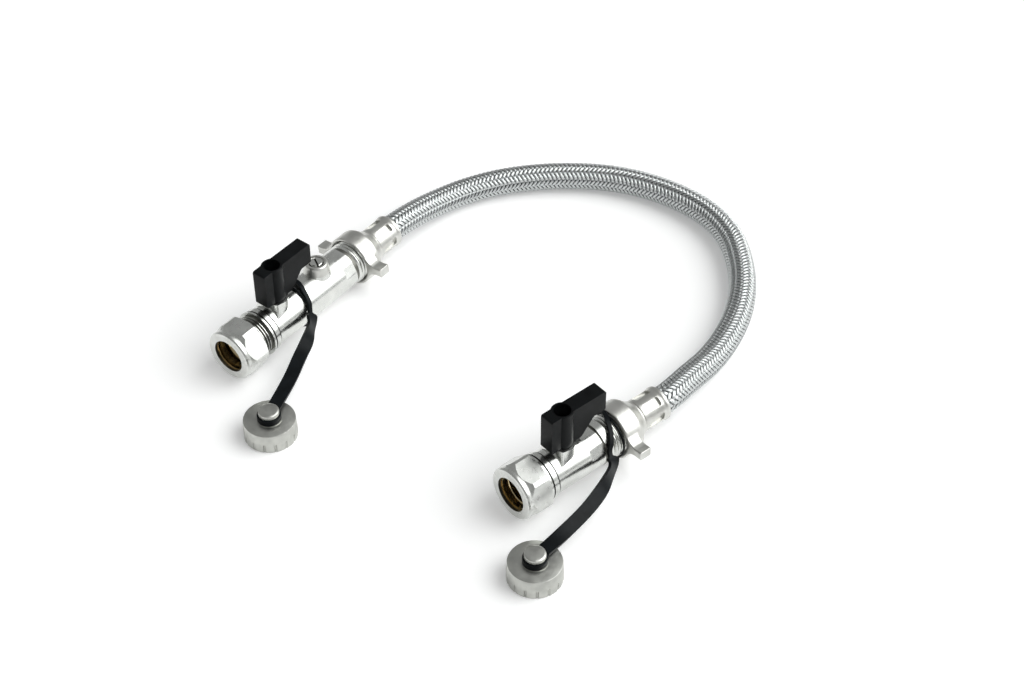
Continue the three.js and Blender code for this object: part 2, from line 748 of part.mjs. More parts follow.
function wingNut(at, turn) {
  const { r, rimR, rim, barrel, shoulder, shoulderDrop, coneR, cone, neck, rearR } = WING_NUT;
  const { entryR, entry, chamberR } = WING_NUT;
  const threadR = FEMALE_THREAD_R;
  const chamberEnd = at.tailNeck + SEAT_GAP;
  const round = turned([
    [entryR, at.rim],
    [rimR, at.rim],
    [r, at.rim + rim],
    [r, at.rim + barrel - shoulder],
    [r - shoulderDrop, at.rim + barrel],
    [coneR, at.nutEnd - cone],
    [rearR, at.nutEnd - neck],
    [rearR, at.nutEnd],
    [TAIL.neckR + RUN_GAP, at.nutEnd],
    [TAIL.neckR + RUN_GAP, chamberEnd],
    [chamberR, chamberEnd],
    [chamberR, at.washer],
    [threadR, at.washer],
    [threadR, at.rim + entry],
  ]);
  const { tipR, tipWidth, rootWidth, rootR, bendR, bendWidth, straightTo, from, depth, edge } = WING;
  const outline = new THREE.Shape();
  outline.moveTo(rootR, -rootWidth / 2);
  outline.quadraticCurveTo(bendR, -bendWidth / 2, straightTo, -tipWidth / 2);
  outline.absarc(tipR - tipWidth / 2, 0, tipWidth / 2, -Math.PI / 2, Math.PI / 2);
  outline.quadraticCurveTo(bendR, bendWidth / 2, rootR, rootWidth / 2);
  const wing = new THREE.ExtrudeGeometry(outline, {
    depth: depth - 2 * edge,
    bevelThickness: edge,
    bevelSize: edge,
    bevelOffset: -edge,
    bevelSegments: 1,
    curveSegments: 4,
  });
  wing.rotateX(Math.PI / 2).translate(0, at.rim + from + depth - edge, 0);
  const one = solid(wing);
  return round.add(one).add(one.rotate([0, 180, 0])).rotate([0, -turn, 0]);
}

function hoseTail(at) {
  const { flangeR, neckR, shankR, boreR } = TAIL;
  const end = at.hose - SEAT_GAP;
  return turned([
    [boreR, at.tail],
    [flangeR, at.tail],
    [flangeR, at.tailNeck],
    [neckR, at.tailNeck],
    [neckR, at.nutEnd],
    [shankR, at.nutEnd],
    [shankR, end],
    [boreR, end],
  ], INNER_ROUND);
}

function ferrule(at) {
  const { r, flareR, flare, frontWall, lead, flatDepth, flatWidth, flatLength, flatFrom, flats } = FERRULE;
  const boreR = HOSE_R + HOSE_FIT;
  const from = at.ferrule;
  let sleeve = turned([
    [TAIL.shankR + RUN_GAP, from],
    [r - lead, from],
    [r, from + lead],
    [r, at.hose - flare],
    [flareR, at.hose - flare / 2],
    [flareR, at.hose],
    [boreR, at.hose],
    [boreR, from + frontWall],
    [TAIL.shankR + RUN_GAP, from + frontWall],
  ]);
  const middle = from + flatFrom + flatLength / 2;
  const press = block(0, middle, r, flatWidth, flatLength, 2 * flatDepth);
  for (let i = 0; i < flats; i += 1) {
    const angle = (360 * (i + 0.5)) / flats;
    sleeve = sleeve.subtract(press.rotate([0, angle, 0]));
  }
  return sleeve;
}

// Cap, about its own upright axis with its rim on the floor

function cap() {
  const { r, topR, height, band, edge, boreDepth, grooves, grooveR, grooveTop } = CAP;
  const boreR = FEMALE_THREAD_R;
  const foot = height + STUD.foot;
  const under = foot + 2 * SEAT_GAP + EYE.thick;
  let shell = turnedUp([
    [0, boreDepth],
    [boreR, boreDepth],
    [boreR, 0],
    [r - edge, 0],
    [r, edge],
    [r, band],
    [topR, band + edge],
    [topR, height - edge],
    [topR - edge, height],
    [STUD.footR, height],
    [STUD.footR, foot],
    [STUD.neckR, foot],
    [STUD.neckR, under],
    [STUD.headR, under],
    [STUD.headR, under + STUD.head - STUD.crown],
    [STUD.headR - STUD.crown, under + STUD.head],
    [0, under + STUD.head],
  ]);
  for (let i = 0; i < grooves; i += 1) {
    const angle = (2 * Math.PI * (i + 0.5)) / grooves;
    const groove = rod(grooveR, -OVERCUT, grooveTop);
    shell = shell.subtract(turnedUp(groove, SMALL_ROUND, r * Math.cos(angle), r * Math.sin(angle)));
  }
  return shell;
}

function capSeal() {
  const top = CAP.boreDepth - SEAT_GAP;
  const outer = FEMALE_THREAD_R - SEAT_GAP;
  return turnedUp(tube(CAP_SEAL.boreR, outer, top - CAP_SEAL.thick, top), INNER_ROUND);
}

// Strap: a thin ring on the valve, a strip wrapped over it, then a flat band to the cap's eye

function strapRoute(at, strap) {
  const ring = at.rim - strap.fromRim;
  const points = [];
  const r = strap.seatR + STRIP_LIFT;
  for (const [turn, ahead] of strap.wrap) {
    const angle = radians(turn);
    points.push(new THREE.Vector3(r * Math.cos(angle), ring + ahead, r * Math.sin(angle)));
  }
  for (const [x, ahead, height] of strap.band) {
    points.push(new THREE.Vector3(x, ring + ahead, height - AXIS_HEIGHT));
  }
  const [x, ahead] = strap.cap;
  points.push(new THREE.Vector3(x, ring + ahead, eyeMiddle() - AXIS_HEIGHT));
  return new THREE.CatmullRomCurve3(points, false, 'centripetal');
}

function eyeMiddle() {
  return CAP.height + STUD.foot + SEAT_GAP + EYE.thick / 2;
}

// The band as a row of four-cornered sections, wide where it has left the valve. The shoulder
// where it widens sticks out towards the hose.
function bandGeometry(route, wrapPoints) {
  const corners = [[-1, -1], [1, -1], [1, 1], [-1, 1]];
  const lengths = route.getLengths(ROUTE_SAMPLES * (route.points.length - 1));
  const wrapped = lengths[ROUTE_SAMPLES * (wrapPoints - 1)] / lengths[lengths.length - 1];
  const reach = 1 - (EYE.r - BAND.thick) / route.getLength();
  const between = (u, from, to) => THREE.MathUtils.smoothstep(u, wrapped + from, wrapped + to);
  const sections = [];
  for (let i = 0; i <= STRAP_STEPS; i += 1) {
    const u = i / STRAP_STEPS;
    const centre = route.getPointAt(u * reach);
    const along = route.getTangentAt(u * reach);
    const radial = new THREE.Vector3(centre.x, 0, centre.z).normalize();
    const up = new THREE.Vector3(0, 0, 1);
    const flat = between(u, 0, BAND_TURNS);
    const out = radial.lerp(up, flat);
    const across = new THREE.Vector3().crossVectors(out, along).normalize();
    const normal = new THREE.Vector3().crossVectors(along, across).normalize();
    const widen = between(u, BAND_WIDENS.from, BAND_WIDENS.to);
    const width = THREE.MathUtils.lerp(BAND.stripWidth, BAND.width, widen);
    centre.addScaledVector(across, BAND.shoulderShift * widen * (1 - flat));
    sections.push(corners.map(([w, t]) => {
      const corner = centre.clone().addScaledVector(across, (w * width) / 2);
      return corner.addScaledVector(normal, (t * BAND.thick) / 2).toArray();
    }));
  }
  return lofted(sections);
}

function strapPiece(at, strap) {
  const route = strapRoute(at, strap);
  const ringY = at.rim - strap.fromRim;
  const ring = turned(ringSection(strap.seatR + STRAP_RING.lift, ringY, STRAP_RING.r, STRAP_RING.sides));
  const eye = route.getPointAt(1);
  const half = EYE.thick / 2;
  const hole = STUD.neckR + RUN_GAP;
  return solid(bandGeometry(route, strap.wrap.length))
    .add(ring)
    .add(turnedUp(rod(EYE.r, eye.z - half, eye.z + half), ROUND, eye.x, eye.y))
    .subtract(turnedUp(rod(hole, eye.z - EYE.thick, eye.z + EYE.thick), ROUND, eye.x, eye.y));
}

// Assembly

function named(name, body, material) {
  const mesh = new THREE.Mesh(geometryOf(body), new THREE.MeshStandardMaterial(MATERIALS[material]));
  mesh.name = name;
  return mesh;
}

function valve(side, body, strap, turn, place) {
  const at = stationsOf(body);
  const group = new THREE.Group();
  const add = (name, piece, material) => group.add(named(`${side}_${name}`, piece, material));
  const plainBody = valveBody(at, body);
  add('valve_body', side === 'left' ? withTestBoss(plainBody, at) : plainBody, 'nickel');
  add('compression_nut', compressionNut(turn.nut), 'nickel');
  add('olive', olive(at), 'brass');
  add('ball', ball(at), 'steel');
  add('seat_front', seat(at, -1), 'ptfe');
  add('seat_rear', seat(at, 1), 'ptfe');
  add('seat_retainer', seatRetainer(at), 'brass');
  add('stem', stem(at), 'brass');
  add('stem_oring', stemRing(at), 'rubber');
  add('lever', lever(at), 'handle');
  add('lever_screw', leverScrew(at), 'steel');
  add('wing_nut', wingNut(at, turn.wings), 'satin');
  const washer = tube(WASHER.boreR, WASHER.r, at.washer, at.washer + WASHER.thick);
  add('tail_washer', turned(washer, INNER_ROUND), 'rubber');
  add('hose_tail', hoseTail(at), 'brass');
  add('ferrule', ferrule(at), 'satin');
  add('strap', strapPiece(at, strap), 'strap');
  if (side === 'left') {
    for (const [end, offset] of [['front', CAGE_FRONT_FROM_STEM], ['rear', CAGE_REAR_FROM_STEM]]) {
      add(`check_${end}_cage`, checkCage(at.stem + offset), 'plastic');
      add(`check_${end}_poppet`, poppet(at.stem + offset), 'plastic');
      add(`check_${end}_spring`, checkSpring(at.stem + offset), 'steel');
    }
    add('test_screw', testScrew(at), 'nickel');
    add('test_screw_seal', testScrewSeal(at), 'rubber');
  }
  const capGroup = new THREE.Group();
  capGroup.add(named(`${side}_cap`, cap(), 'cap'));
  capGroup.add(named(`${side}_cap_seal`, capSeal(), 'rubber'));
  capGroup.position.set(strap.cap[0], at.rim - strap.fromRim + strap.cap[1], -AXIS_HEIGHT);
  group.add(capGroup);
  group.position.set(place.x, place.y, AXIS_HEIGHT);
  group.rotation.z = radians(place.turn);
  group.userData.at = at;
  group.updateMatrixWorld(true);
  return group;
}

// The hose leaves each ferrule straight along its valve's bore
function hose(left, right) {
  const point = (group, y) => new THREE.Vector3(0, y, 0).applyMatrix4(group.matrixWorld);
  const starts = [SEAT_GAP, HOSE_LEAD].map((y) => point(left, left.userData.at.hose + y));
  const ends = [HOSE_LEAD, SEAT_GAP].map((y) => point(right, right.userData.at.hose + y));
  const between = HOSE_ROUTE.map(([x, y, z]) => new THREE.Vector3(x, y, z));
  const path = new THREE.CatmullRomCurve3([...starts, ...between, ...ends], false, 'centripetal');
  return solid(new THREE.ExtrudeGeometry(circleShape(HOSE_R, HOSE_SIDES), {
    steps: HOSE_STEPS,
    extrudePath: path,
    bevelEnabled: false,
  }));
}

// The fittings stand on z = 0 with the middle of their outer box over the origin
function fillingLoop() {
  const left = valve('left', LEFT_BODY, LEFT_STRAP, LEFT_TURN, LEFT_PLACE);
  const right = valve('right', RIGHT_BODY, RIGHT_STRAP, RIGHT_TURN, RIGHT_PLACE);
  const fittings = new THREE.Group();
  fittings.add(left, right);
  const box = new THREE.Box3().setFromObject(fittings, true);
  const middle = box.getCenter(new THREE.Vector3());
  const loop = new THREE.Group();
  loop.add(fittings, named('braided_hose', hose(left, right), 'hose'));
  loop.position.set(-middle.x, -middle.y, -box.min.z);
  loop.updateMatrixWorld(true);
  return loop;
}

export default fillingLoop();
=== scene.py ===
# %% [markdown]
# A boiler filling loop, dressed for a picture
#
# Two small ball valves lie on a pale table, joined by a hose in a steel braid. The packed
# CAD model is the fixed frame: it says where everything is and what moves. This file keeps
# to that frame and gives each visible piece its turned edges, threads, braid and finish.

# %% Load the frame
import json
import math
import bpy
import bmesh
import numpy as np
from mathutils import Matrix, Vector


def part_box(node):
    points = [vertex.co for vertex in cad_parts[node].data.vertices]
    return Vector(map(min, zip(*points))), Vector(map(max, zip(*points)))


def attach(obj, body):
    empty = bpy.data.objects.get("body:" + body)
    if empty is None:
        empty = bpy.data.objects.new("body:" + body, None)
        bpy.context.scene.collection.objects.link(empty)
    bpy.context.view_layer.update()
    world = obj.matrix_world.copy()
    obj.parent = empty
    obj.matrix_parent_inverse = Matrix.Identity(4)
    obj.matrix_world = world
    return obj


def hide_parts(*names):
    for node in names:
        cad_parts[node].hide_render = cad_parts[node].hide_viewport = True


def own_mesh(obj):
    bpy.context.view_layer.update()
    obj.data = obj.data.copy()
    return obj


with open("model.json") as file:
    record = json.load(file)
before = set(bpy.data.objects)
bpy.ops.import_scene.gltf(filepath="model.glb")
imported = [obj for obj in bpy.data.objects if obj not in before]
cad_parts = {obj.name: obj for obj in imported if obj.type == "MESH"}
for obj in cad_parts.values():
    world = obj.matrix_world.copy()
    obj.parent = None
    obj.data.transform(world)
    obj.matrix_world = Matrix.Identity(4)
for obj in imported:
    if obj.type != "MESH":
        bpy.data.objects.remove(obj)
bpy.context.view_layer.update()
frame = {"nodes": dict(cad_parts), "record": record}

# %% [markdown]
# Where things are
#
# Lengths below are in millimetres, as on a drawing. Each valve has its own coordinates:
# x across, y along the bore from the front face of the pipe nut, z up from the bore's
# middle. One matrix per valve carries them into the frame, in metres.

# %% Places of the two valves
MM = 0.001
ROOT = "valves_and_hose"
AXIS_HEIGHT = 12.9


def placed(x, y, z, turn=0.0):
    spot = Matrix.Translation(Vector((x, y, z)) * MM)
    return spot @ Matrix.Rotation(math.radians(turn), 4, "Z") @ Matrix.Scale(MM, 4)


VALVE_PLACE = {
    "left": placed(-82.03, -43.7, AXIS_HEIGHT, 6.02),
    "right": placed(68.78, -17.45, AXIS_HEIGHT, -6.02),
}
for side, place in VALVE_PLACE.items():
    print(side, "valve at", [round(value, 4) for value in place.translation])

# %% [markdown]
# Camera
#
# The picture is taken from about 43 degrees up, with a long lens, so the lines hardly
# converge. The camera is set first, because the hose must stay in its view.

# %% Camera
LENS = 70.3125
CAMERA_AT = (0.46459, -0.42841, 0.6369)
CAMERA_TOWARDS = (-0.00669, 0.06193, 0.0)
camera_data = bpy.data.cameras.new("camera")
camera_data.sensor_width = 36
camera_data.sensor_fit = "HORIZONTAL"
camera_data.lens = LENS
camera_data.clip_start = 0.05
camera = bpy.data.objects.new("camera", camera_data)
bpy.context.scene.collection.objects.link(camera)
eye = Vector(CAMERA_AT)
target = Vector(CAMERA_TOWARDS)
camera.location = eye
camera.rotation_euler = (target - eye).to_track_quat("-Z", "Y").to_euler()
bpy.context.scene.camera = camera
print("camera", round((target - eye).length, 3), "m from the middle of the table")

# %% [markdown]
# Materials, the shared part
#
# Every finish is a Principled shader with its own small variation. The patterns read
# Object coordinates in metres, so a scale of 400 makes spots of about 2.5 mm.

# %% Helpers for materials


def new_finish(name, colour, metallic, roughness):
    finish = bpy.data.materials.new(name)
    finish.use_nodes = True
    shader = finish.node_tree.nodes["Principled BSDF"]
    shader.inputs["Base Color"].default_value = (*colour, 1)
    shader.inputs["Metallic"].default_value = metallic
    shader.inputs["Roughness"].default_value = roughness
    return finish, finish.node_tree, shader


def noise_of(tree, scale, detail):
    where = tree.nodes.new("ShaderNodeTexCoord")
    noise = tree.nodes.new("ShaderNodeTexNoise")
    noise.inputs["Scale"].default_value = scale
    noise.inputs["Detail"].default_value = detail
    tree.links.new(where.outputs["Object"], noise.inputs["Vector"])
    return noise.outputs["Fac"]


# A noise texture gives values mostly between these two
NOISE_LOW, NOISE_HIGH = 0.3, 0.7


def vary(tree, source, low, high, socket):
    spread = tree.nodes.new("ShaderNodeMapRange")
    spread.inputs["From Min"].default_value = NOISE_LOW
    spread.inputs["From Max"].default_value = NOISE_HIGH
    spread.inputs["To Min"].default_value = low
    spread.inputs["To Max"].default_value = high
    tree.links.new(source, spread.inputs["Value"])
    tree.links.new(spread.outputs["Result"], socket)


def tint(tree, source, dark, light, socket):
    ramp = tree.nodes.new("ShaderNodeValToRGB")
    ramp.color_ramp.elements[0].position = NOISE_LOW
    ramp.color_ramp.elements[0].color = (*dark, 1)
    ramp.color_ramp.elements[1].position = NOISE_HIGH
    ramp.color_ramp.elements[1].color = (*light, 1)
    tree.links.new(source, ramp.inputs["Fac"])
    tree.links.new(ramp.outputs["Color"], socket)


def bump(tree, source, depth, strength, shader):
    node = tree.nodes.new("ShaderNodeBump")
    node.inputs["Distance"].default_value = depth
    node.inputs["Strength"].default_value = strength
    tree.links.new(source, node.inputs["Height"])
    tree.links.new(node.outputs["Normal"], shader.inputs["Normal"])


# %% [markdown]
# Bright nickel
#
# The bodies and pipe nuts are machined brass, nickel plated and bright. A plated turning
# shows soft waviness and a slightly warm grey, so colour and roughness drift a little and
# a faint grain bends the reflections. The die castings are duller and grainier, and the bore is
# bare brass. The roots of threads and grooves, narrow and deep, are painted very dark: mostly
# painted shade, with a little dark oxide.

# %% Metals
COLOUR_SPOTS, ROUGH_SPOTS = 150, 420
METAL_GRAIN = 0.0002


def metal(name, dark, light, rough, grain, strength):
    finish, tree, shader = new_finish(name, light, 1.0, rough[0])
    tint(tree, noise_of(tree, COLOUR_SPOTS, 2), dark, light, shader.inputs["Base Color"])
    vary(tree, noise_of(tree, ROUGH_SPOTS, 4), rough[0], rough[1], shader.inputs["Roughness"])
    bump(tree, noise_of(tree, grain, 4), METAL_GRAIN, strength, shader)
    return finish


nickel = metal("bright_nickel", (0.64, 0.65, 0.625), (0.74, 0.75, 0.725), (0.2, 0.28), 300, 0.035)
nut_nickel = metal("nut_nickel", (0.6, 0.61, 0.585), (0.74, 0.75, 0.725), (0.24, 0.36), 560, 0.12)
satin = metal("satin_nickel", (0.56, 0.56, 0.53), (0.68, 0.68, 0.65), (0.3, 0.42), 1500, 0.22)
casting = metal("grey_casting", (0.42, 0.425, 0.4), (0.58, 0.585, 0.55), (0.3, 0.42), 1000, 0.3)
brass = metal("dull_brass", (0.54, 0.43, 0.24), (0.68, 0.56, 0.34), (0.1, 0.18), 300, 0.05)
olive_brass = metal("bright_brass", (0.66, 0.56, 0.36), (0.8, 0.7, 0.48), (0.18, 0.26), 700, 0.04)
# Very dark finish for roots, grooves, a slot and a nut's rim: painted shade, with a little dark
# oxide
recess_shade = metal("recess_shade", (0.1, 0.1, 0.09), (0.22, 0.22, 0.2), (0.34, 0.46), 600, 0.1)
steel = metal("polished_steel", (0.6, 0.6, 0.6), (0.72, 0.72, 0.73), (0.12, 0.2), 900, 0.05)

# %% [markdown]
# Black plastic and rubber
#
# The levers are moulded nylon with a very fine spark texture, the straps a softer and
# slightly bluish black. Both catch the light softly along their edges.

# %% Plastics and rubber
MOULD_GRAIN = 0.0001
SOFT_SHINE = 0.1


def moulded(name, dark, light, rough, grain, grain_strength):
    finish, tree, shader = new_finish(name, light, 0.0, rough[0])
    tint(tree, noise_of(tree, 180, 3), dark, light, shader.inputs["Base Color"])
    vary(tree, noise_of(tree, 600, 3), rough[0], rough[1], shader.inputs["Roughness"])
    bump(tree, noise_of(tree, grain, 3), MOULD_GRAIN, grain_strength, shader)
    shader.inputs["Specular IOR Level"].default_value = SOFT_SHINE
    return finish


handle_black = moulded(
    "handle_black", (0.002, 0.0024, 0.0026), (0.005, 0.006, 0.0065), (0.3, 0.42), 2600, 0.3
)
strap_black = moulded(
    "strap_black", (0.003, 0.004, 0.0045), (0.007, 0.009, 0.0105), (0.28, 0.38), 1600, 0.15
)
seal_black = moulded(
    "seal_black", (0.012, 0.012, 0.012), (0.02, 0.02, 0.02), (0.6, 0.75), 1200, 0.2
)
seat_white = moulded(
    "seat_white", (0.74, 0.73, 0.69), (0.84, 0.83, 0.79), (0.4, 0.5), 900, 0.1
)

# %% [markdown]
# Finishes for the CAD pieces that stay
#
# Inner pieces are seen only through the bores or when a cap is lifted. They keep their
# CAD shape and take the finish of the real material. The olives are a brighter brass.

# %% Dress the CAD nodes
SLOT_FINISH = {
    "nickel_plate": nickel,
    "satin_casting": satin,
    "grey_casting": casting,
    "plain_brass": brass,
    "polished_steel": steel,
    "seat_plastic": seat_white,
    "check_plastic": seat_white,
    "lever_plastic": handle_black,
    "strap_plastic": strap_black,
    "seal_rubber": seal_black,
    "steel_braid": steel,
}
OLIVES = ("left_olive", "right_olive")
for entry in frame["record"]["subparts"]:
    mesh = frame["nodes"][entry["node"]].data
    mesh.materials.clear()
    finish = SLOT_FINISH[entry["material_slot"]]
    mesh.materials.append(olive_brass if entry["node"] in OLIVES else finish)

# %% [markdown]
# Tools for shaping
#
# Most pieces here were turned, so the main tool is a spin: half of the cross-section is
# drawn as a line of points, radius and place along the bore, and swept once round. Joining
# and cutting use a Boolean on two closed forms. A finished piece gets its place written
# into its mesh, smooth faces, crisp edges where faces meet steeply, and a small bevel that
# catches the light.

# %% Helpers for shapes
STEPS = 96
SAME_PLACE = 1e-4


def turned(section, steps=STEPS, centre=(0, 0, 0), axis=(0, 1, 0)):
    """A form swept round an axis from [radius, height] points."""
    form = bmesh.new()
    height = Vector(axis)
    across = Vector((1, 0, 0))
    points = [form.verts.new(Vector(centre) + across * r + height * h) for r, h in section]
    lines = [form.edges.new(pair) for pair in zip(points, points[1:])]
    if section[0][0] > 0 or section[-1][0] > 0:
        lines.append(form.edges.new((points[-1], points[0])))
    bmesh.ops.spin(
        form,
        geom=points + lines,
        cent=centre,
        axis=axis,
        angle=math.tau,
        steps=steps,
        use_merge=True,
    )
    return closed(form)


def closed(form):
    bmesh.ops.remove_doubles(form, verts=form.verts, dist=SAME_PLACE)
    bmesh.ops.recalc_face_normals(form, faces=form.faces)
    return form


def box_form(middle, size, turn=None):
    form = bmesh.new()
    bmesh.ops.create_cube(form, size=1)
    bmesh.ops.scale(form, vec=size, verts=form.verts)
    if turn is not None:
        bmesh.ops.rotate(form, matrix=turn, verts=form.verts)
    bmesh.ops.translate(form, vec=middle, verts=form.verts)
    return form


def hex_form(across_flats, start, end, corner):
    """A hexagonal bar along the bore with one corner at an angle from +x."""
    form = bmesh.new()
    bmesh.ops.create_cone(
        form,
        cap_ends=True,
        segments=6,
        radius1=across_flats / math.sqrt(3),
        radius2=across_flats / math.sqrt(3),
        depth=end - start,
    )
    bmesh.ops.rotate(form, matrix=Matrix.Rotation(math.radians(-90), 3, "X"), verts=form.verts)
    first = max(form.verts, key=lambda v: v.co.x).co
    now = math.atan2(first.z, first.x)
    turn = Matrix.Rotation(now - math.radians(corner), 3, "Y")
    bmesh.ops.rotate(form, matrix=turn, verts=form.verts)
    bmesh.ops.translate(form, vec=(0, (start + end) / 2, 0), verts=form.verts)
    return form


def rough_object(form, name):
    """An object from a form, before its finish; the form is used up."""
    mesh = bpy.data.meshes.new(name)
    form.to_mesh(mesh)
    form.free()
    thing = bpy.data.objects.new(name, mesh)
    bpy.context.scene.collection.objects.link(thing)
    return thing


def combine(form, tool, operation):
    """UNION, DIFFERENCE or INTERSECT of two closed forms; both are used up."""
    first = rough_object(form, "first")
    second = rough_object(tool, "second")
    cut = first.modifiers.new("cut", "BOOLEAN")
    cut.object = second
    cut.operation = operation
    cut.solver = "EXACT"
    result = bmesh.new()
    result.from_object(first, bpy.context.evaluated_depsgraph_get())
    for thing in (first, second):
        mesh = thing.data
        bpy.data.objects.remove(thing)
        bpy.data.meshes.remove(mesh)
    return result


def together(form, other):
    """Two closed forms as one, where a Boolean isn't needed; the second is used up."""
    mesh = bpy.data.meshes.new("other")
    other.to_mesh(mesh)
    other.free()
    form.from_mesh(mesh)
    bpy.data.meshes.remove(mesh)
    return form


def keep_piece(form, name, place, finish, body, bevel=0.15, sharp=32, segments=2):
    """The finished object: its place in its mesh, its finish, and the body it rides on."""
    bmesh.ops.remove_doubles(form, verts=form.verts, dist=SAME_PLACE)
    bmesh.ops.transform(form, matrix=place, verts=form.verts)
    for face in form.faces:
        face.smooth = True
    for edge in form.edges:
        edge.smooth = edge.calc_face_angle(0) < math.radians(sharp)
    faces = len(form.faces)
    piece = rough_object(form, name)
    piece.data.materials.append(finish)
    if bevel > 0:
        edges = piece.modifiers.new("edges", "BEVEL")
        edges.width = bevel * MM
        edges.segments = segments
        edges.limit_method = "ANGLE"
        edges.angle_limit = math.radians(sharp)
        edges.harden_normals = False
    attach(piece, body)
    print(name, faces, "faces")
    return piece


# %% [markdown]
# The hose's line
#
# The hose leaves both valves straight, sinks under its own weight and lies on the table
# in one wide bend. Its centre is a smooth curve through listed points, the same
# points that the CAD hose follows.

# %% Centre line of the hose
HOSE_STARTS = {"left": 110.85, "right": 85.35}
HOSE_ROUTE = [
    (-95.8, 87.8, 10.6),
    (-96.1, 102.1, 8.2),
    (-93.5, 118.6, 6.9),
    (-86.7, 135.2, 6.75),
    (-76.3, 151.0, 6.75),
    (-62.2, 166.0, 6.75),
    (-46.2, 178.0, 6.75),
    (-28.7, 185.6, 6.75),
    (-10.7, 189.2, 6.75),
    (6.8, 188.8, 6.75),
    (23.8, 183.2, 6.75),
    (38.8, 172.4, 6.75),
    (51.9, 158.6, 6.75),
    (62.3, 142.2, 6.75),
    (69.5, 124.2, 6.85),
    (73.9, 106.6, 8.2),
    (76.2, 89.6, 10.7),
]


def on_bore(side, along):
    return VALVE_PLACE[side] @ Vector((0, along, 0))


hose_knots = [on_bore("left", HOSE_STARTS["left"] + lead) for lead in (0.3, 5)]
hose_knots += [Vector(point) * MM for point in HOSE_ROUTE]
hose_knots += [on_bore("right", HOSE_STARTS["right"] + lead) for lead in (5, 0.3)]


def smooth_line(knots, per_span):
    """Points on a centripetal spline through the knots."""
    before = knots[0] + (knots[0] - knots[1])
    after = knots[-1] + (knots[-1] - knots[-2])
    points = [before, *knots, after]
    line = []
    for p0, p1, p2, p3 in zip(points, points[1:], points[2:], points[3:]):
        gaps = [max((b - a).length, 1e-9) ** 0.5 for a, b in ((p0, p1), (p1, p2), (p2, p3))]
        m1 = (p1 - p0) / gaps[0] - (p2 - p0) / (gaps[0] + gaps[1]) + (p2 - p1) / gaps[1]
        m2 = (p2 - p1) / gaps[1] - (p3 - p1) / (gaps[1] + gaps[2]) + (p3 - p2) / gaps[2]
        m1, m2 = m1 * gaps[1], m2 * gaps[1]
        for i in range(per_span):
            t = i / per_span
            line.append(
                (2 * t**3 - 3 * t**2 + 1) * p1
                + (t**3 - 2 * t**2 + t) * m1
                + (3 * t**2 - 2 * t**3) * p2
                + (t**3 - t**2) * m2
            )
    line.append(points[-2].copy())
    return line


hose_line = np.array([tuple(point) for point in smooth_line(hose_knots, 24)])
hose_along = np.concatenate([[0], np.cumsum(np.linalg.norm(np.diff(hose_line, axis=0), axis=1))])
hose_length = hose_along[-1]
print("hose length", round(hose_length * 1000, 1), "mm")

# %% [markdown]
# Frames along the hose
#
# A braid turns round its hose evenly, so it needs two directions across the centre line
# that don't twist on their own. They are carried along the line step by step, each time
# made square to the new direction.

# %% Directions across the hose


def across_line(line):
    """Two directions across a line at each of its points, free of twist."""
    along = np.gradient(line, axis=0)
    along /= np.linalg.norm(along, axis=1)[:, None]
    side = np.cross(along[0], (0, 0, 1))
    sides = []
    for direction in along:
        side = side - direction * side.dot(direction)
        side = side / np.linalg.norm(side)
        sides.append(side)
    sides = np.array(sides)
    return sides, np.cross(sides, along)


hose_side, hose_up = across_line(hose_line)


def on_hose(distance, angle, radius):
    """Points round the hose, from arrays of distance along it, angle and radius in metres."""
    centre = [np.interp(distance, hose_along, hose_line[:, k]) for k in range(3)]
    side = [np.interp(distance, hose_along, hose_side[:, k]) for k in range(3)]
    up = [np.interp(distance, hose_along, hose_up[:, k]) for k in range(3)]
    c, s = np.cos(angle) * radius, np.sin(angle) * radius
    return np.stack([centre[k] + side[k] * c + up[k] * s for k in range(3)], axis=-1)


# %% [markdown]
# Rubber core
#
# Under the braid is a rubber tube. It shows only as dark gaps between the wires. It is
# the piece that stands for the hose's length, and the CAD hose is hidden behind it.

# %% Core of the hose
CORE_R = 5.95
CORE_SIDES = 32
CORE_RINGS = 160


def tube_faces(rows, columns, first=0):
    """Faces of a tube of points, row by row, with one large face at each end."""
    index = np.arange(rows * columns).reshape(rows, columns) + first
    beside = np.roll(index, -1, axis=1)
    quads = np.stack([index[:-1], beside[:-1], beside[1:], index[1:]], axis=-1)
    return quads.reshape(-1, 4).tolist() + [index[0].tolist(), index[-1].tolist()]


core_at = np.linspace(0, hose_length, CORE_RINGS)
core_angle = np.linspace(0, math.tau, CORE_SIDES, endpoint=False)
core_radius = np.full((CORE_RINGS, CORE_SIDES), CORE_R * MM)
core_points = on_hose(core_at[:, None], core_angle[None, :], core_radius)
core_mesh = bpy.data.meshes.new("hose_core")
core_mesh.from_pydata(core_points.reshape(-1, 3).tolist(), [], tube_faces(CORE_RINGS, CORE_SIDES))
core_form = bmesh.new()
core_form.from_mesh(core_mesh)
bmesh.ops.recalc_face_normals(core_form, faces=core_form.faces)
for face in core_form.faces:
    face.smooth = len(face.verts) == 4
core_form.to_mesh(core_mesh)
core_form.free()
hose_core = bpy.data.objects.new("hose_core", core_mesh)
bpy.context.scene.collection.objects.link(hose_core)
core_mesh.materials.append(seal_black)
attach(hose_core, ROOT)
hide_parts("braided_hose")

# %% [markdown]
# Steel braid
#
# A braiding machine lays 24 flat bundles of stainless wire, half of them winding each way.
# Each bundle passes over two and under two of the others, and from row to row the step
# shifts by one, which draws the lengthwise rows of slanted strokes. Each bundle is
# modelled as a crowned ribbon whose distance from the hose's middle rises and falls as it
# crosses the others. The fine wires inside a bundle are lines on its own UV map.

# %% Ribbons of the braid
BUNDLES = 12
LAY_PITCH = 26.4
RIBBON_WIDTH = 1.66
RIBBON_THICK = 0.42
WEAVE_LIFT = 0.26
WEAVE_R = 6.22
PER_CROSSING = 3
# How quickly a bundle changes between over and under
STEEP = 1.6
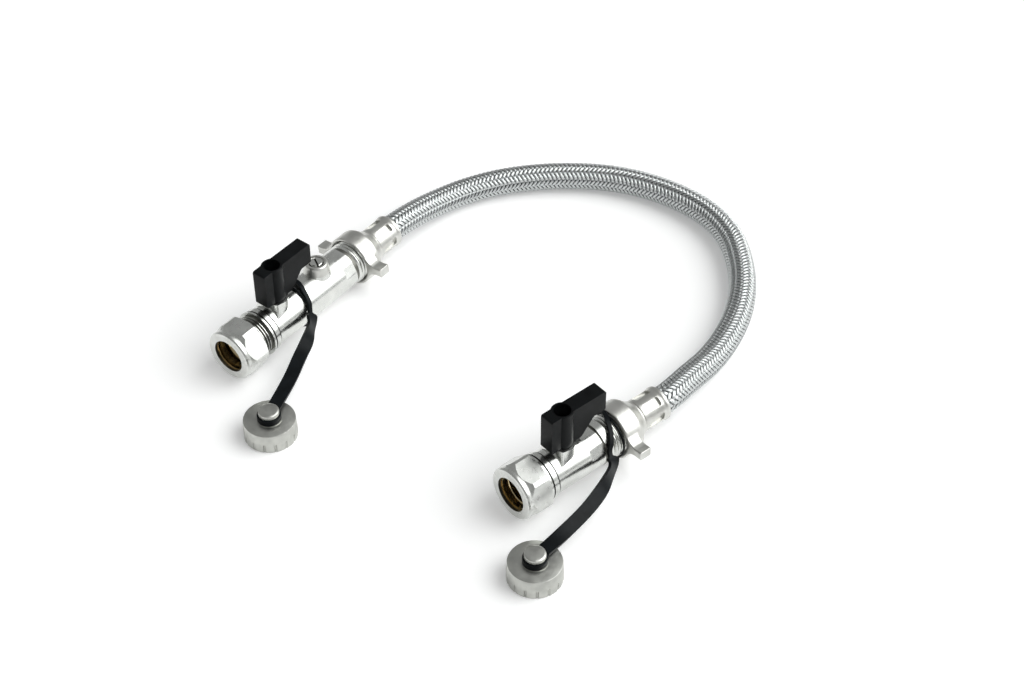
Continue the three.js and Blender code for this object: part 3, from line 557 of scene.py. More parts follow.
# Across a ribbon and up, in half widths and thicknesses
RIBBON_SECTION = ((-1, -0.5), (-0.6, 0.2), (0, 0.5), (0.6, 0.2), (1, -0.5))


def ribbon(direction, number):
    turns = hose_length / MM / LAY_PITCH
    crossings = 2 * BUNDLES * turns
    steps = int(crossings * PER_CROSSING)
    share = np.linspace(0, 1, steps)
    angle = math.tau * (number / BUNDLES + direction * turns * share)
    # Crossings passed, counted so that both families agree on which of them lies on top
    crossed = 2 * number + direction * crossings * share
    height = direction * np.clip(STEEP * np.cos(math.tau * (crossed - 0.5) / 4), -1, 1)
    centre_r = (WEAVE_R + WEAVE_LIFT * height) * MM
    slope = math.atan2(math.tau * WEAVE_R, LAY_PITCH)
    half_along = RIBBON_WIDTH / 2 * math.sin(slope) * MM
    half_round = RIBBON_WIDTH / 2 * math.cos(slope) / WEAVE_R
    columns = []
    for across, lift in RIBBON_SECTION:
        at = share * hose_length - direction * across * half_along
        at = np.clip(at, 0, hose_length)
        radius = centre_r + lift * RIBBON_THICK * MM
        columns.append(on_hose(at, angle + across * half_round, radius))
    return np.stack(columns, axis=1)


def braid_family(name, direction):
    verts, faces, uv = [], [], []
    for number in range(BUNDLES):
        points = ribbon(direction, number)
        rows, columns = points.shape[:2]
        faces.extend(tube_faces(rows, columns, len(verts)))
        verts.extend(points.reshape(-1, 3).tolist())
        for row in range(rows):
            uv.extend([(c / (columns - 1), row / PER_CROSSING) for c in range(columns)])
    mesh = bpy.data.meshes.new(name)
    mesh.from_pydata(verts, [], faces)
    layer = mesh.uv_layers.new(name="along_bundle")
    corner_vertex = np.zeros(len(mesh.loops), dtype=np.int32)
    mesh.loops.foreach_get("vertex_index", corner_vertex)
    layer.data.foreach_set("uv", np.array(uv)[corner_vertex].ravel())
    form = bmesh.new()
    form.from_mesh(mesh)
    bmesh.ops.recalc_face_normals(form, faces=form.faces)
    for face in form.faces:
        face.smooth = True
    form.to_mesh(mesh)
    form.free()
    piece = bpy.data.objects.new(name, mesh)
    bpy.context.scene.collection.objects.link(piece)
    mesh.materials.append(braid_wire)
    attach(piece, ROOT)
    print(name, len(mesh.polygons), "faces")
    return piece


# %% [markdown]
# Wire finish
#
# Stainless wire, eight wires to a bundle, so seven gaps. The lines come from the UV map of
# the ribbon, so they follow each bundle as it winds. In the gaps the colour is painted darker,
# as painted shade between the wires.

# %% Finish of the braid wire
WIRE_GAPS = 7
# The darker colour is painted shade in the gaps between the wires
WIRE_GAP_SHADE, WIRE_LIGHT = (0.4, 0.42, 0.42), (0.76, 0.78, 0.78)
WIRE_DEPTH = 0.0001
braid_wire, wire_tree, wire_shader = new_finish("braid_wire", (0.7, 0.72, 0.72), 1.0, 0.24)
wire_uv = wire_tree.nodes.new("ShaderNodeUVMap")
wire_uv.uv_map = "along_bundle"
wire_split = wire_tree.nodes.new("ShaderNodeSeparateXYZ")
wire_wave = wire_tree.nodes.new("ShaderNodeMath")
wire_wave.operation = "MULTIPLY"
wire_wave.inputs[1].default_value = math.tau * WIRE_GAPS
wire_round = wire_tree.nodes.new("ShaderNodeMath")
wire_round.operation = "COSINE"
wire_tree.links.new(wire_uv.outputs["UV"], wire_split.inputs["Vector"])
wire_tree.links.new(wire_split.outputs["X"], wire_wave.inputs[0])
wire_tree.links.new(wire_wave.outputs["Value"], wire_round.inputs[0])
wire_fac = wire_tree.nodes.new("ShaderNodeMapRange")
wire_fac.inputs["From Min"].default_value = -1
wire_fac.inputs["From Max"].default_value = 1
wire_tree.links.new(wire_round.outputs["Value"], wire_fac.inputs["Value"])
wire_height = wire_fac.outputs["Result"]
# Painted shade: the base colour darkens towards the gaps between the wires
tint(wire_tree, wire_height, WIRE_GAP_SHADE, WIRE_LIGHT, wire_shader.inputs["Base Color"])
bump(wire_tree, wire_height, WIRE_DEPTH, 0.5, wire_shader)

braid_pieces = [braid_family("braid_clockwise", 1), braid_family("braid_anticlockwise", -1)]

# %% [markdown]
# Stations along the bore
#
# All lengths count from the front face of the pipe nut. The two bodies are alike up to the
# stem; the left one is longer behind it, because two check valves sit in it.

# %% Stations
STATION = {
    "left": dict(hex=68.85, hex_end=75.85, collar=77.05, thread=78.05, end=86.25, rim=81.45),
    "right": dict(hex=37.35, hex_end=44.85, collar=46.05, thread=50.75, end=60.75, rim=55.95),
}
# The left pipe nut is unscrewed by 3 mm, so the left body starts further back
for side, unscrewed in (("left", 3.0), ("right", 0.0)):
    mouth = 3.75 + unscrewed
    STATION[side].update(mouth=mouth, socket=mouth + 1.6, flange=mouth + 11.0, stem=mouth + 24.4)
    STATION[side].update(stop=mouth + 14.38, cavity=mouth + 16.48)
# The right flange stands 1 mm further forward in the picture
STATION["right"]["flange"] -= 1.0
BARREL_R, THREAD_R, BORE_R, CAVITY_R = 10.4, 10.3, 7.6, 7.7
print("bore lengths", {side: at["end"] for side, at in STATION.items()})


def thread_ridges(start, end, crest, root, pitch):
    """Ridges of a thread as points of a section, from start to end."""
    points = []
    count = max(1, round((end - start) / pitch))
    step = (end - start) / count
    for i in range(count):
        foot = start + i * step
        points += [
            (root, foot + 0.1 * step),
            (crest, foot + 0.42 * step),
            (crest, foot + 0.58 * step),
            (root, foot + 0.9 * step),
        ]
    return points


# %% [markdown]
# Pipe nuts
#
# A compression nut is turned from hexagonal brass bar. Its front is turned round, so the
# six flats end in curved lines where the cone of the turning cuts them. A spun form
# intersected with a hexagonal bar gives just those curves. A round collar stands in front.
# Just inside the hole its rim is painted dark, as shade in the gap there, and behind it the bore is
# bare brass.

# %% Pipe nuts
NUT_FLATS = 24
NUT_TURN = {"left": 62, "right": 46}
# In the picture the left nut stands a little further out than its CAD solid
NUT_FORWARD = {"left": -1.3, "right": 0.0}
NUT_INSIDE_R, NUT_END = 10.25, 13.3
# Depth to which the hole's rim is painted dark as shade
SHADED_RIM = 1.0
NUT_SHARP = 17


def paint_inside(form, radius, start, end):
    """Faces close to the bore take the second material."""
    for face in form.faces:
        middle = face.calc_center_median()
        inside = math.hypot(middle.x, middle.z) < radius and start < middle.y < end
        face.material_index = 1 if inside else 0


for side in VALVE_PLACE:
    blank = turned([
        (8.2, 2.0),
        (11.9, 2.0),
        (12.1, 2.9),
        (12.6, 3.7),
        (13.35, 5.0),
        (13.35, 12.6),
        (12.1, 13.4),
        (10.2, 13.4),
        (10.2, 3.5),
        (8.2, 2.2),
    ])
    collar = turned([
        (8.2, 0.0),
        (11.3, 0.0),
        (11.9, 0.2),
        (12.3, 0.8),
        (12.4, 1.4),
        (12.3, 2.2),
        (12.0, 2.7),
        (11.4, 2.9),
        (9.0, 2.9),
        (8.2, 1.5),
    ])
    nut = combine(blank, hex_form(NUT_FLATS, -1, 15, NUT_TURN[side]), "INTERSECT")
    nut = combine(nut, collar, "UNION")
    front = NUT_FORWARD[side]
    bmesh.ops.translate(nut, vec=(0, front, 0), verts=nut.verts)
    # Faces inside the hole take the dark finish near the rim, painted shade, and brass deeper in
    paint_inside(nut, NUT_INSIDE_R, front + 0.3, NUT_END)
    for face in nut.faces:
        if face.material_index == 1 and face.calc_center_median().y > front + SHADED_RIM:
            face.material_index = 2
    piece = keep_piece(
        nut,
        side + "_pipe_nut",
        VALVE_PLACE[side],
        nut_nickel,
        side + "_nut",
        bevel=0.16,
        sharp=NUT_SHARP,
    )
    piece.data.materials.append(recess_shade)
    piece.data.materials.append(brass)
    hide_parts(side + "_compression_nut")

# %% [markdown]
# Valve bodies
#
# Seen from the nut: the thread that the nut runs on, a thin flange, a groove, a wide ring,
# a second groove, the long barrel, six spanner flats and the thread for the wing nut. All of
# it is one spin. The part with the flats, the block under the lever and the small boss are
# joined on, and the holes for the stem and the test screw are cut last. Inside, the brass
# isn't plated. The roots of threads and grooves are painted very dark, as painted shade in
# those narrow recesses.

# %% Valve bodies
TEST_PLACE = STATION["left"]["stem"] + 28.2
GROOVE, FIRST_RING, SECOND_RING = 0.95, 1.0, 4.3
GROOVE_R, FLANGE_R, RING_ROUND_R = 9.9, 11.4, 11.1
ROOT_R = 9.1
SPANNER_FLATS = 20
STEM_HOLE = [(0, 0.5), (3.3, 0.5), (3.3, 15), (0, 15)]
STEM_SEAT = [(0, 0.5), (4.2, 0.5), (4.2, 8.0), (0, 8.0)]
BOSS = [(0, 8.0), (6.9, 8.0), (6.7, 9.0), (6.3, 10.4), (5.9, 12.2)]
BOSS += [(5.5, 14.2), (5.3, 14.7), (4.9, 15.0), (0, 15.0)]
BOSS_HOLE = [(0, 9.7), (3.45, 9.7), (3.45, 14.2), (3.9, 14.5), (3.9, 16), (0, 16)]
BLEED_HOLE = [(0, 0.5), (1.2, 0.5), (1.2, 12), (0, 12)]
# Places of the finishes in a body's list of materials; the last one is painted shade for the roots
BOSS_FINISH, ROOT_SHADE_FINISH = 2, 3


def body_section(side):
    at = STATION[side]
    mouth, flange = at["mouth"], at["flange"]
    outside = [(9.2, mouth), (9.6, mouth + 0.5)]
    outside += thread_ridges(mouth + 0.6, flange - 0.6, 10.0, ROOT_R, 1.5)
    outside += [
        (ROOT_R, flange - 0.6),
        (ROOT_R, flange),
        (FLANGE_R, flange),
        (FLANGE_R, flange + FIRST_RING),
        (GROOVE_R, flange + FIRST_RING),
        (GROOVE_R, flange + FIRST_RING + GROOVE),
        (RING_ROUND_R, flange + FIRST_RING + GROOVE),
        (RING_ROUND_R, flange + SECOND_RING),
        (GROOVE_R, flange + SECOND_RING),
        (GROOVE_R, flange + SECOND_RING + GROOVE),
        (BARREL_R, flange + SECOND_RING + GROOVE),
        (BARREL_R, at["hex"]),
        (9.8, at["hex"]),
        (9.8, at["hex_end"]),
        (9.7, at["hex_end"]),
        (9.7, at["collar"]),
    ]
    if side == "right":
        outside += [(BARREL_R, at["collar"]), (BARREL_R, at["thread"] - 1.0)]
    outside += [(9.5, at["thread"] - 1.0), (9.5, at["thread"])]
    outside += thread_ridges(at["thread"], at["end"] - 0.4, THREAD_R, 9.45, 1.81)
    outside += [(9.5, at["end"])]
    inside = [
        (CAVITY_R, at["end"]),
        (CAVITY_R, at["cavity"]),
        (4.5, at["cavity"]),
        (4.5, at["stop"]),
        (BORE_R, at["stop"]),
        (BORE_R, at["socket"]),
    ]
    return outside + inside


def upright(section, along, steps=STEPS):
    """A form spun about the upright line through the stem or the boss."""
    return turned(section, steps, (0, along, 0), (0, 0, 1))


# Half of the block's outline round the stem, as [along the bore, sideways], at foot and top
BLOCK_FOOT = [(-6.6, 3.6), (-6.6, 7.2), (-6.3, 7.5), (-5.8, 7.4)]
BLOCK_FOOT += [(0.5, 6.5), (3.7, 5.3), (5.8, 2.8)]
BLOCK_TOP = [(-5.2, 2.8), (-4.2, 4.8), (-3.9, 5.3), (-3.3, 5.6), (0.5, 6.4), (3.6, 5.2), (5.7, 2.8)]


def lever_block(stem):
    """The block under the lever: square and flared at its foot in front, nearly round on top."""
    form = bmesh.new()
    rings = []
    for outline, z in ((BLOCK_FOOT, 6.5), (BLOCK_TOP, 13.5)):
        whole = outline + [(y, -x) for y, x in reversed(outline)]
        rings.append([form.verts.new((x, stem + y, z)) for y, x in whole])
    low, high = rings
    form.faces.new(low)
    form.faces.new(high)
    for i in range(len(low)):
        j = (i + 1) % len(low)
        form.faces.new((low[i], low[j], high[j], high[i]))
    return closed(form)


def paint_root_shade(body, at):
    """Roots of the threads and grooves get the very dark finish: painted shade."""
    for face in body.faces:
        middle = face.calc_center_median()
        along = middle.y - at["flange"]
        deep = math.hypot(middle.x, middle.z)
        root = 8.95 < deep < 9.7 and along < 0.1
        root = root or (8.95 < deep < 9.8 and at["hex_end"] < middle.y < at["end"])
        for groove in (FIRST_RING, SECOND_RING):
            inside = groove - 0.03 < along < groove + GROOVE + 0.03
            root = root or (inside and 8.95 < deep < 10.95)
        if root:
            face.material_index = ROOT_SHADE_FINISH


def paint_boss(body):
    """The boss is left satin, as it was cast."""
    for face in body.faces:
        middle = face.calc_center_median()
        if math.hypot(middle.x, middle.y - TEST_PLACE) < 7 and middle.z > 9.8:
            face.material_index = BOSS_FINISH


for side in VALVE_PLACE:
    at = STATION[side]
    stem, hex_start, hex_end = at["stem"], at["hex"], at["hex_end"]
    body = turned(body_section(side))
    band = turned([(9.3, hex_start), (BARREL_R, hex_start), (BARREL_R, hex_end), (9.3, hex_end)])
    band = combine(band, hex_form(SPANNER_FLATS, hex_start - 1, hex_end + 1, 0), "INTERSECT")
    body = combine(body, band, "UNION")
    body = combine(body, lever_block(stem), "UNION")
    cavity = [(0, at["cavity"]), (CAVITY_R, at["cavity"]), (CAVITY_R, hex_start), (0, hex_start)]
    body = combine(body, turned(cavity), "DIFFERENCE")
    body = combine(body, upright(STEM_HOLE, stem, 48), "DIFFERENCE")
    body = combine(body, upright(STEM_SEAT, stem, 48), "DIFFERENCE")
    if side == "left":
        body = combine(body, upright(BOSS, TEST_PLACE), "UNION")
        body = combine(body, upright(BOSS_HOLE, TEST_PLACE, 48), "DIFFERENCE")
        body = combine(body, upright(BLEED_HOLE, TEST_PLACE, 24), "DIFFERENCE")
    paint_inside(body, 8.9, at["mouth"] - 0.2, at["end"] - 0.2)
    paint_root_shade(body, at)
    if side == "left":
        paint_boss(body)
    place = VALVE_PLACE[side]
    piece = keep_piece(body, side + "_body", place, nickel, ROOT, bevel=0.1)
    for finish in (brass, satin, recess_shade):
        piece.data.materials.append(finish)
    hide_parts(side + "_valve_body")

# %% [markdown]
# Test screw and lever screws
#
# Small slotted screws. The slot is a thin box cut from a spun head.

# %% Screws
TEST_HEAD = [(0, 10.0), (1.8, 10.0), (1.8, 11.5), (3.05, 11.5)]
TEST_HEAD += [(3.05, 15.05), (2.8, 15.3), (0, 15.3)]
BOLT = [(0, 15.4), (1.2, 15.4), (1.2, 23.9), (2.9, 23.9), (2.9, 25.2), (2.6, 25.5), (0, 25.5)]
SLOT = 0.9
SLOT_TURN = Matrix.Rotation(math.radians(-30), 3, "Z")

test_head = upright(TEST_HEAD, TEST_PLACE, 64)
test_slot = box_form((0, TEST_PLACE, 15.3), (9, SLOT, 3.0), SLOT_TURN)
test_head = combine(test_head, test_slot, "DIFFERENCE")
# The walls and floor of the slot take the dark finish: painted shade in the slot
for face in test_head.faces:
    middle = face.calc_center_median()
    if 13.6 < middle.z < 15.2 and math.hypot(middle.x, middle.y - TEST_PLACE) < 2.9:
        face.material_index = 1
place = VALVE_PLACE["left"]
test_screw = keep_piece(test_head, "left_test_plug", place, nickel, ROOT, 0.08)
test_screw.data.materials.append(recess_shade)
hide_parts("left_test_screw")
for side, place in VALVE_PLACE.items():
    stem = STATION[side]["stem"]
    head = combine(upright(BOLT, stem, 48), box_form((0, stem, 25.5), (8, SLOT, 1.4)), "DIFFERENCE")
    body = side + "_lever_and_ball"
    screw = keep_piece(head, side + "_lever_bolt", place, steel, body, 0.06)
    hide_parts(side + "_lever_screw")

# %% [markdown]
# Check springs
#
# A small coil of spring wire holds each check valve shut. A circle is spun along a screw
# line, and both ends are closed.

# %% Check springs
SPRING_R, SPRING_WIRE, SPRING_TURNS, SPRING_STEPS = 2.6, 0.3, 4, 112
SPRING_FROM, SPRING_TO = 3.84, 9.98
SPRING_RISE = (SPRING_TO - SPRING_FROM) / SPRING_STEPS
place = VALVE_PLACE["left"]
for end, offset in (("front", 12.4), ("rear", 33.4)):
    cage = STATION["left"]["stem"] + offset
    coil = bmesh.new()
    across = Matrix.Translation((SPRING_R, cage + SPRING_FROM, 0))
    bmesh.ops.create_circle(coil, segments=8, radius=SPRING_WIRE, matrix=across)
    bmesh.ops.spin(
        coil,
        geom=coil.verts[:] + coil.edges[:],
        axis=(0, 1, 0),
        cent=(0, 0, 0),
        dvec=(0, SPRING_RISE, 0),
        angle=math.tau * SPRING_TURNS,
        steps=SPRING_STEPS,
    )
    open_ends = [edge for edge in coil.edges if edge.is_boundary]
    bmesh.ops.holes_fill(coil, edges=open_ends, sides=0)
    bmesh.ops.recalc_face_normals(coil, faces=coil.faces)
    name = "left_check_" + end
    spring = keep_piece(coil, name + "_coil", place, steel, ROOT, 0)
    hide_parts(name + "_spring")
    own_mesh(spring)

# %% [markdown]
# Levers
#
# A moulded handle: a flat side outline, pulled to the handle's width with softened edges,
# and a round hub that stands out on both sides. The deep round well over the screw is cut
# from above.

# %% Levers
LEVER_FOOT, LEVER_TOP = 13.8, 32.4
LEVER_SIDE = [(-8.6, 13.8), (8.0, 13.8), (15.0, 21.7), (21.6, 21.7), (21.6, 32.4), (-8.6, 32.4)]
LEVER_WIDTH = 7.2
# The hub ends a hair inside the grip, so that no two faces lie in one plane
HUB_FOOT, HUB_TOP = LEVER_FOOT + 0.02, LEVER_TOP - 0.02
HUB = [(0, HUB_FOOT), (5.0, HUB_FOOT), (5.0, HUB_TOP - 0.33), (4.65, HUB_TOP), (0, HUB_TOP)]
WELL = [(0, 23.6), (3.9, 23.6), (3.9, 34), (0, 34)]
BOLT_HOLE = [(0, 13), (1.5, 13), (1.5, 30), (0, 30)]
STEM_SOCKET = 4.6


def pull(form, face, way):
    """A flat face pulled straight into a closed form."""
    pulled = bmesh.ops.extrude_face_region(form, geom=[face])
    moved = [v for v in pulled["geom"] if isinstance(v, bmesh.types.BMVert)]
    bmesh.ops.translate(form, vec=way, verts=moved)
    bmesh.ops.recalc_face_normals(form, faces=form.faces)


for side, place in VALVE_PLACE.items():
    stem = STATION[side]["stem"]
    grip = bmesh.new()
    outline = [grip.verts.new((-LEVER_WIDTH / 2, stem + y, z)) for y, z in LEVER_SIDE]
    pull(grip, grip.faces.new(outline), (LEVER_WIDTH, 0, 0))
    crossing = [e for e in grip.edges if abs((e.verts[0].co - e.verts[1].co).x) > 1]
    bmesh.ops.bevel(
        grip, geom=crossing, offset=0.9, segments=4, profile=0.5, affect="EDGES", material=-1
    )
    grip = combine(grip, upright(HUB, stem), "UNION")
    grip = combine(grip, upright(WELL, stem, 64), "DIFFERENCE")
    grip = combine(grip, upright(BOLT_HOLE, stem, 32), "DIFFERENCE")
    socket = box_form((0, stem, 17.05), (STEM_SOCKET, STEM_SOCKET, 8.5))
    grip = combine(grip, socket, "DIFFERENCE")
    body = side + "_lever_and_ball"
    lever = keep_piece(
        grip, side + "_handle", place, handle_black, body, 0.4, segments=3
    )
    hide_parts(side + "_lever")

# %% [markdown]
# Wing nuts
#
# A die casting with soft corners everywhere. The nut and its two wings are joined, then
# remeshed in small voxels and smoothed, which rounds every edge and fills the corners where
# the wings grow out, as metal does in a mould.

# %% Wing nuts
WING_TURN = {"left": 8, "right": 3}
WING_UNDER = [(11.0, -5.6), (12.2, -4.1), (13.6, -2.9), (15.2, -2.2)]
WING_UNDER += [(17.2, -1.9), (18.8, -2.0), (20.2, -2.2)]
WING_LENGTH = 6.0
CAST_VOXEL, CAST_ROUNDS = 0.3, 4


def soft_cast(form, voxel, rounds):
    """The form as a casting, with every edge and corner rounded."""
    thing = rough_object(form, "soft")
    remesh = thing.modifiers.new("voxels", "REMESH")
    remesh.mode = "VOXEL"
    remesh.voxel_size = voxel
    smooth = thing.modifiers.new("smooth", "SMOOTH")
    smooth.factor = 0.5
    smooth.iterations = rounds
    result = bmesh.new()
    result.from_object(thing, bpy.context.evaluated_depsgraph_get())
    mesh = thing.data
    bpy.data.objects.remove(thing)
    bpy.data.meshes.remove(mesh)
    return result


def wing_form(rim):
    """One wing, growing from the nut towards +x with a flared root and a square tip."""
    form = bmesh.new()
    over = [(x, -z) for x, z in reversed(WING_UNDER)]
    outline = [form.verts.new((x, rim, z)) for x, z in WING_UNDER + over]
    pull(form, form.faces.new(outline), (0, WING_LENGTH, 0))
    return form


for side, place in VALVE_PLACE.items():
    at = STATION[side]
    rim = at["rim"]
    washer = at["end"] + 0.3
    chamber_end = washer + 4.6
    nut_end = rim + 14.9
    cast = turned([
        (11.3, rim),
        (12.1, rim),
        (12.5, rim + 0.6),
        (12.5, rim + 8.2),
        (12.3, rim + 9.0),
        (11.6, rim + 9.9),
        (9.4, rim + 12.5),
        (8.3, rim + 14.0),
        (8.3, nut_end),
        (6.3, nut_end),
        (6.3, chamber_end),
        (10.0, chamber_end),
        (10.0, washer),
        (10.7, washer),
        (10.7, rim + 0.9),
    ])
    for half_turn in (0, 180):
        wing = wing_form(rim)
        turn = Matrix.Rotation(math.radians(half_turn), 3, "Y")
        bmesh.ops.rotate(wing, matrix=turn, verts=wing.verts)
        cast = combine(cast, wing, "UNION")
    cast = soft_cast(cast, CAST_VOXEL, CAST_ROUNDS)
    turn = Matrix.Rotation(-math.radians(WING_TURN[side]), 3, "Y")
    bmesh.ops.rotate(cast, matrix=turn, verts=cast.verts)
    name = side + "_hose_nut"
    nut = keep_piece(cast, name, place, satin, name, bevel=0, sharp=60)
    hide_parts(side + "_wing_nut")

# %% [markdown]
# Ferrules
#
# The sleeve that grips the hose is pressed flat in six places, which leaves bright pads
# with ridges between them. Six rounded boxes are cut from a spun sleeve.

# %% Ferrules
PRESSES = 6
PRESS_SIZE, PRESS_CORNER = (4.3, 8.6, 1.6), 0.8
PRESS_TILT = Matrix.Rotation(math.radians(-4), 3, "X")
for side, place in VALVE_PLACE.items():
    start = STATION[side]["rim"] + 15.2
    end = start + 14.2
    sleeve = turned([
        (4.7, start),
        (7.1, start),
        (7.55, start + 0.2),
        (7.7, start + 0.6),
        (7.7, end - 2.2),
        (8.0, end - 1.6),
        (8.2, end - 1.1),
        (8.2, end - 0.25),
        (7.95, end),
        (6.75, end),
        (5.9, end - 1.0),
        (5.9, start + 1.2),
        (4.7, start + 1.2),
    ])
    for i in range(PRESSES):
        press = box_form((0, start + 6.5, 7.4), PRESS_SIZE, PRESS_TILT)
        corners = [e for e in press.edges if abs((e.verts[0].co - e.verts[1].co).z) > 1]
        bmesh.ops.bevel(
            press,
            geom=corners,
            offset=PRESS_CORNER,
            segments=3,
            profile=0.5,
            affect="EDGES",
            material=-1,
        )
        turn = Matrix.Rotation(math.radians(360 / PRESSES * (i + 0.5)), 3, "Y")
        bmesh.ops.rotate(press, matrix=turn, verts=press.verts)
        sleeve = combine(sleeve, press, "DIFFERENCE")
    name = side + "_sleeve"
    ferrule = keep_piece(sleeve, name, place, satin, ROOT, 0.2, 28, 3)
    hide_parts(side + "_ferrule")

# %% [markdown]
# Caps
#
# A blanking cap stands on its rim. The lower half of its side swells a little and has
# fifteen short notches for the fingers, its top is flat, and a stud with a round head holds
# the strap.

# %% Caps
CAP_TURN = {"left": 6.02, "right": -6.02}
NOTCHES, NOTCH_AT = 15, 12.1
NOTCH = [(0, -1), (0.6, -1), (0.6, 3.9), (0.45, 4.5), (0, 4.8)]
CAP_SECTION = [
    (0, 7.2), (10.3, 7.2), (10.3, 6.9), (10.7, 6.2), (10.7, 0.4), (11.0, 0.0),
    (11.8, 0.0), (12.05, 0.3), (12.05, 4.6), (11.95, 5.6), (11.75, 6.4), (11.75, 9.15),
    (11.62, 9.48), (11.3, 9.6), (5.6, 9.6), (5.6, 9.9), (2.9, 9.9), (2.9, 12.7),
    (4.5, 12.7), (4.7, 12.9), (4.7, 14.1), (4.55, 14.55), (4.2, 14.8), (3.7, 14.9),
    (0, 14.9),
]
UPRIGHT = (0, 0, 1)
for side in VALVE_PLACE:
    shell = turned(CAP_SECTION, 128, axis=UPRIGHT)
    for i in range(NOTCHES):
        angle = math.tau * (i + 0.5) / NOTCHES
        centre = (NOTCH_AT * math.cos(angle), NOTCH_AT * math.sin(angle), 0)
        shell = combine(shell, turned(NOTCH, 12, centre, UPRIGHT), "DIFFERENCE")
    middle = sum(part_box(side + "_cap_seal"), Vector()) / 2 / MM
    place = placed(middle.x, middle.y, 0, CAP_TURN[side])
    name = side + "_blanking_cap"
    cap = keep_piece(shell, name, place, casting, side + "_cap", 0.12, 30, 3)
    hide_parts(side + "_cap")

# %% [markdown]
# Straps
#
# Each strap is one moulding in soft plastic: a thin ring that rides on the valve, a narrow
# strip that comes over it, a square shoulder where it widens, the flat band and the eye
# under the stud's head. A small rectangle is pulled along the strap's line step by step,
# turned and widened at each step.

# %% Straps
STRAP = {
    "left": {
        "ring": STATION["left"]["rim"] - 39.15,
        "seat": 10.4,
        "wrap": [
            (150, 0), (120, 2.6), (95, 3.6), (80, 3.2),
            (62, 1.9), (45, 1), (32, 0.4), (21, -0.6),
        ],
        "band": [
            (14.1, -3.55, 13.6), (18.2, -9.85, 12.4), (24.3, -22.55, 11.4), (30.6, -36.15, 11.2),
        ],
        "eye": (39.1, -58.95, 11.3),
        "tilt": 8,
    },
    "right": {
        "ring": STATION["right"]["rim"] - 1.3,
        "seat": 10.3,
        "wrap": [
            (150, 0), (120, 0), (100, -0.2), (80, -2.1),
            (63, -3.6), (48, -5.1), (34, -6.8), (20, -8.6),
        ],
        "band": [
            (14.8, -10.4, 13.6), (19.9, -18.8, 12.4), (25.3, -32.6, 11.4), (29.0, -48.8, 11.2),
        ],
        "eye": (32.4, -68.8, 11.3),
        "tilt": 27,
    },
}
RING_R = 0.5
EYE = [(3.2, -1.3), (5.2, -1.3), (5.4, -1.1), (5.4, 1.0), (5.1, 1.3), (3.2, 1.3)]
STRIP_WIDTH, BAND_WIDTH, STRAP_THICK = 2.0, 6.2, 1.5
LINE_STEPS = 12
# The band stops inside the eye
EYE_COVERS = 3.8


def smoothstep(low, high, value):
    t = min(max((value - low) / (high - low), 0), 1)
    return t * t * (3 - 2 * t)


def strap_line(facts):
    """The strap's centre in valve coordinates, from the ring over the valve to the eye."""
    points = []
    for turn, ahead in facts["wrap"]:
        angle = math.radians(turn)
        r = facts["seat"] + 1.5
        points.append(Vector((r * math.cos(angle), facts["ring"] + ahead, r * math.sin(angle))))
    for x, ahead, height in [*facts["band"], facts["eye"]]:
        points.append(Vector((x, facts["ring"] + ahead, height - AXIS_HEIGHT)))
    return smooth_line(points, LINE_STEPS)


def strap_form(facts):
    """The strip and band, pulled along the line from the ring to the eye."""
    line = strap_line(facts)
    steps = [0.0]
    for a, b in zip(line, line[1:]):
        steps.append(steps[-1] + (b - a).length)
    reach = steps[-1] - EYE_COVERS
    wrapped = steps[LINE_STEPS * (len(facts["wrap"]) - 1)] / steps[-1]
    form = bmesh.new()
    bmesh.ops.create_grid(form, x_segments=1, y_segments=1, size=0.5)
    before = Matrix.Identity(4)
    face = form.faces[:][0]
    for i, point in enumerate(line):
        if steps[i] > reach:
            break
        along = (line[min(i + 1, len(line) - 1)] - line[max(i - 1, 0)]).normalized()
        share = steps[i] / reach
        radial = Vector((point.x, 0, point.z)).normalized()
        flat = smoothstep(wrapped, wrapped + 0.4, share)
        lean = math.radians(facts["tilt"]) * (1 - smoothstep(0.75, 1, share))
        upward = Vector((math.sin(lean), 0, math.cos(lean)))
        across = radial.lerp(upward, flat).cross(along).normalized()
        normal = along.cross(across).normalized()
        widened = smoothstep(wrapped + 0.03, wrapped + 0.05, share)
        width = STRIP_WIDTH + (BAND_WIDTH - STRIP_WIDTH) * widened
        here = Matrix((across * width, normal * STRAP_THICK, along)).transposed().to_4x4()
        here.translation = point + across * (widened * (1 - flat))
        if i > 0:
            pulled = bmesh.ops.extrude_face_region(form, geom=[face])
            face = [g for g in pulled["geom"] if isinstance(g, bmesh.types.BMFace)][0]
            bmesh.ops.transform(form, matrix=here @ before.inverted(), verts=face.verts)
        else:
            bmesh.ops.transform(form, matrix=here, verts=form.verts)
        before = here
    bmesh.ops.recalc_face_normals(form, faces=form.faces)
    return form


for side, facts in STRAP.items():
    band = strap_form(facts)
    ring_section = [
        (facts["seat"] + 0.7 + RING_R * math.cos(a), facts["ring"] + RING_R * math.sin(a))
        for a in np.linspace(0, math.tau, 12, endpoint=False)
    ]
    band = together(band, turned(ring_section))
    x, ahead, height = facts["eye"]
    spot = (x, facts["ring"] + ahead, height - AXIS_HEIGHT)
    band = together(band, turned(EYE, 64, spot, UPRIGHT))
    name, place = side + "_cap_strap", VALVE_PLACE[side]
    strap = keep_piece(
        band, name, place, strap_black, side + "_strap", 0.3, 40, 3
    )
    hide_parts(side + "_strap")

# %% [markdown]
# Light and table
#
# The picture was taken in a light tent: one wide, soft window of light to the right, a dimmer
# grey all round, and a white table, lit a little from underneath, that sends light up from
# below. Polished metal shows all of it, so the window is a glow in the surround with no edge
# of its own, and the shadows fall weakly to the lower left.

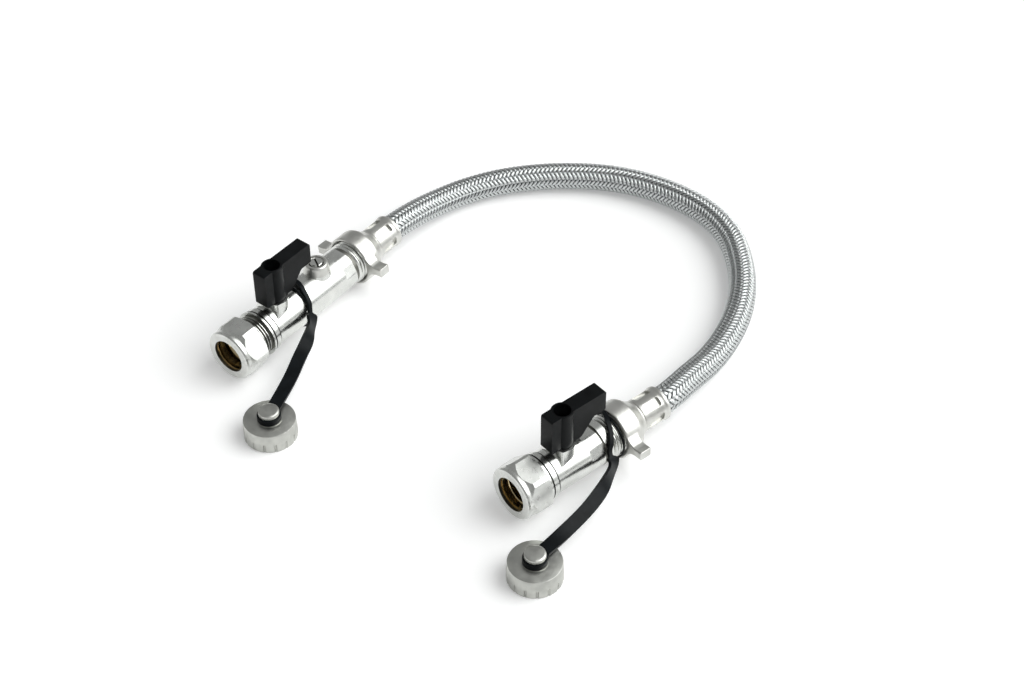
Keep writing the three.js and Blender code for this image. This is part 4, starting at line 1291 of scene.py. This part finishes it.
# %% Table and light
TABLE_SIZE = 6
WINDOW_TOWARDS = (46, 43)
WINDOW_INNER, WINDOW_OUTER = 8, 44
WINDOW_LIGHT, TENT_LIGHT = 3.9, 0.34
TABLE_GLOW = 0.22

table_mesh = bpy.data.meshes.new("table")
table = bpy.data.objects.new("table", table_mesh)
bpy.context.scene.collection.objects.link(table)
bm = bmesh.new()
bmesh.ops.create_grid(bm, x_segments=1, y_segments=1, size=TABLE_SIZE)
bm.to_mesh(table_mesh)
bm.free()
table_finish, table_tree, table_shader = new_finish("pale_table", (0.9, 0.9, 0.9), 0.0, 0.85)
table_shader.inputs["Emission Color"].default_value = (1, 1, 1, 1)
table_shader.inputs["Emission Strength"].default_value = TABLE_GLOW
table_mesh.materials.append(table_finish)


def heading(azimuth, height):
    """A direction from its angle round the upright and its height above the table."""
    turn, rise = math.radians(azimuth), math.radians(height)
    return (math.cos(rise) * math.cos(turn), math.cos(rise) * math.sin(turn), math.sin(rise))


surround = bpy.data.worlds.new("tent")
bpy.context.scene.world = surround
surround.use_nodes = True
tent = surround.node_tree
where = tent.nodes.new("ShaderNodeTexCoord")
towards = tent.nodes.new("ShaderNodeVectorMath")
towards.operation = "DOT_PRODUCT"
towards.inputs[1].default_value = heading(*WINDOW_TOWARDS)
glow = tent.nodes.new("ShaderNodeMapRange")
glow.interpolation_type = "SMOOTHSTEP"
glow.inputs["From Min"].default_value = math.cos(math.radians(WINDOW_OUTER))
glow.inputs["From Max"].default_value = math.cos(math.radians(WINDOW_INNER))
glow.inputs["To Min"].default_value = TENT_LIGHT
glow.inputs["To Max"].default_value = WINDOW_LIGHT
background = tent.nodes["Background"]
background.inputs["Color"].default_value = (0.99, 1.0, 0.995, 1)
tent.links.new(where.outputs["Generated"], towards.inputs[0])
tent.links.new(towards.outputs["Value"], glow.inputs["Value"])
tent.links.new(glow.outputs["Result"], background.inputs["Strength"])
bpy.context.scene.view_settings.view_transform = "Standard"
print("window towards", [round(c, 2) for c in heading(*WINDOW_TOWARDS)])
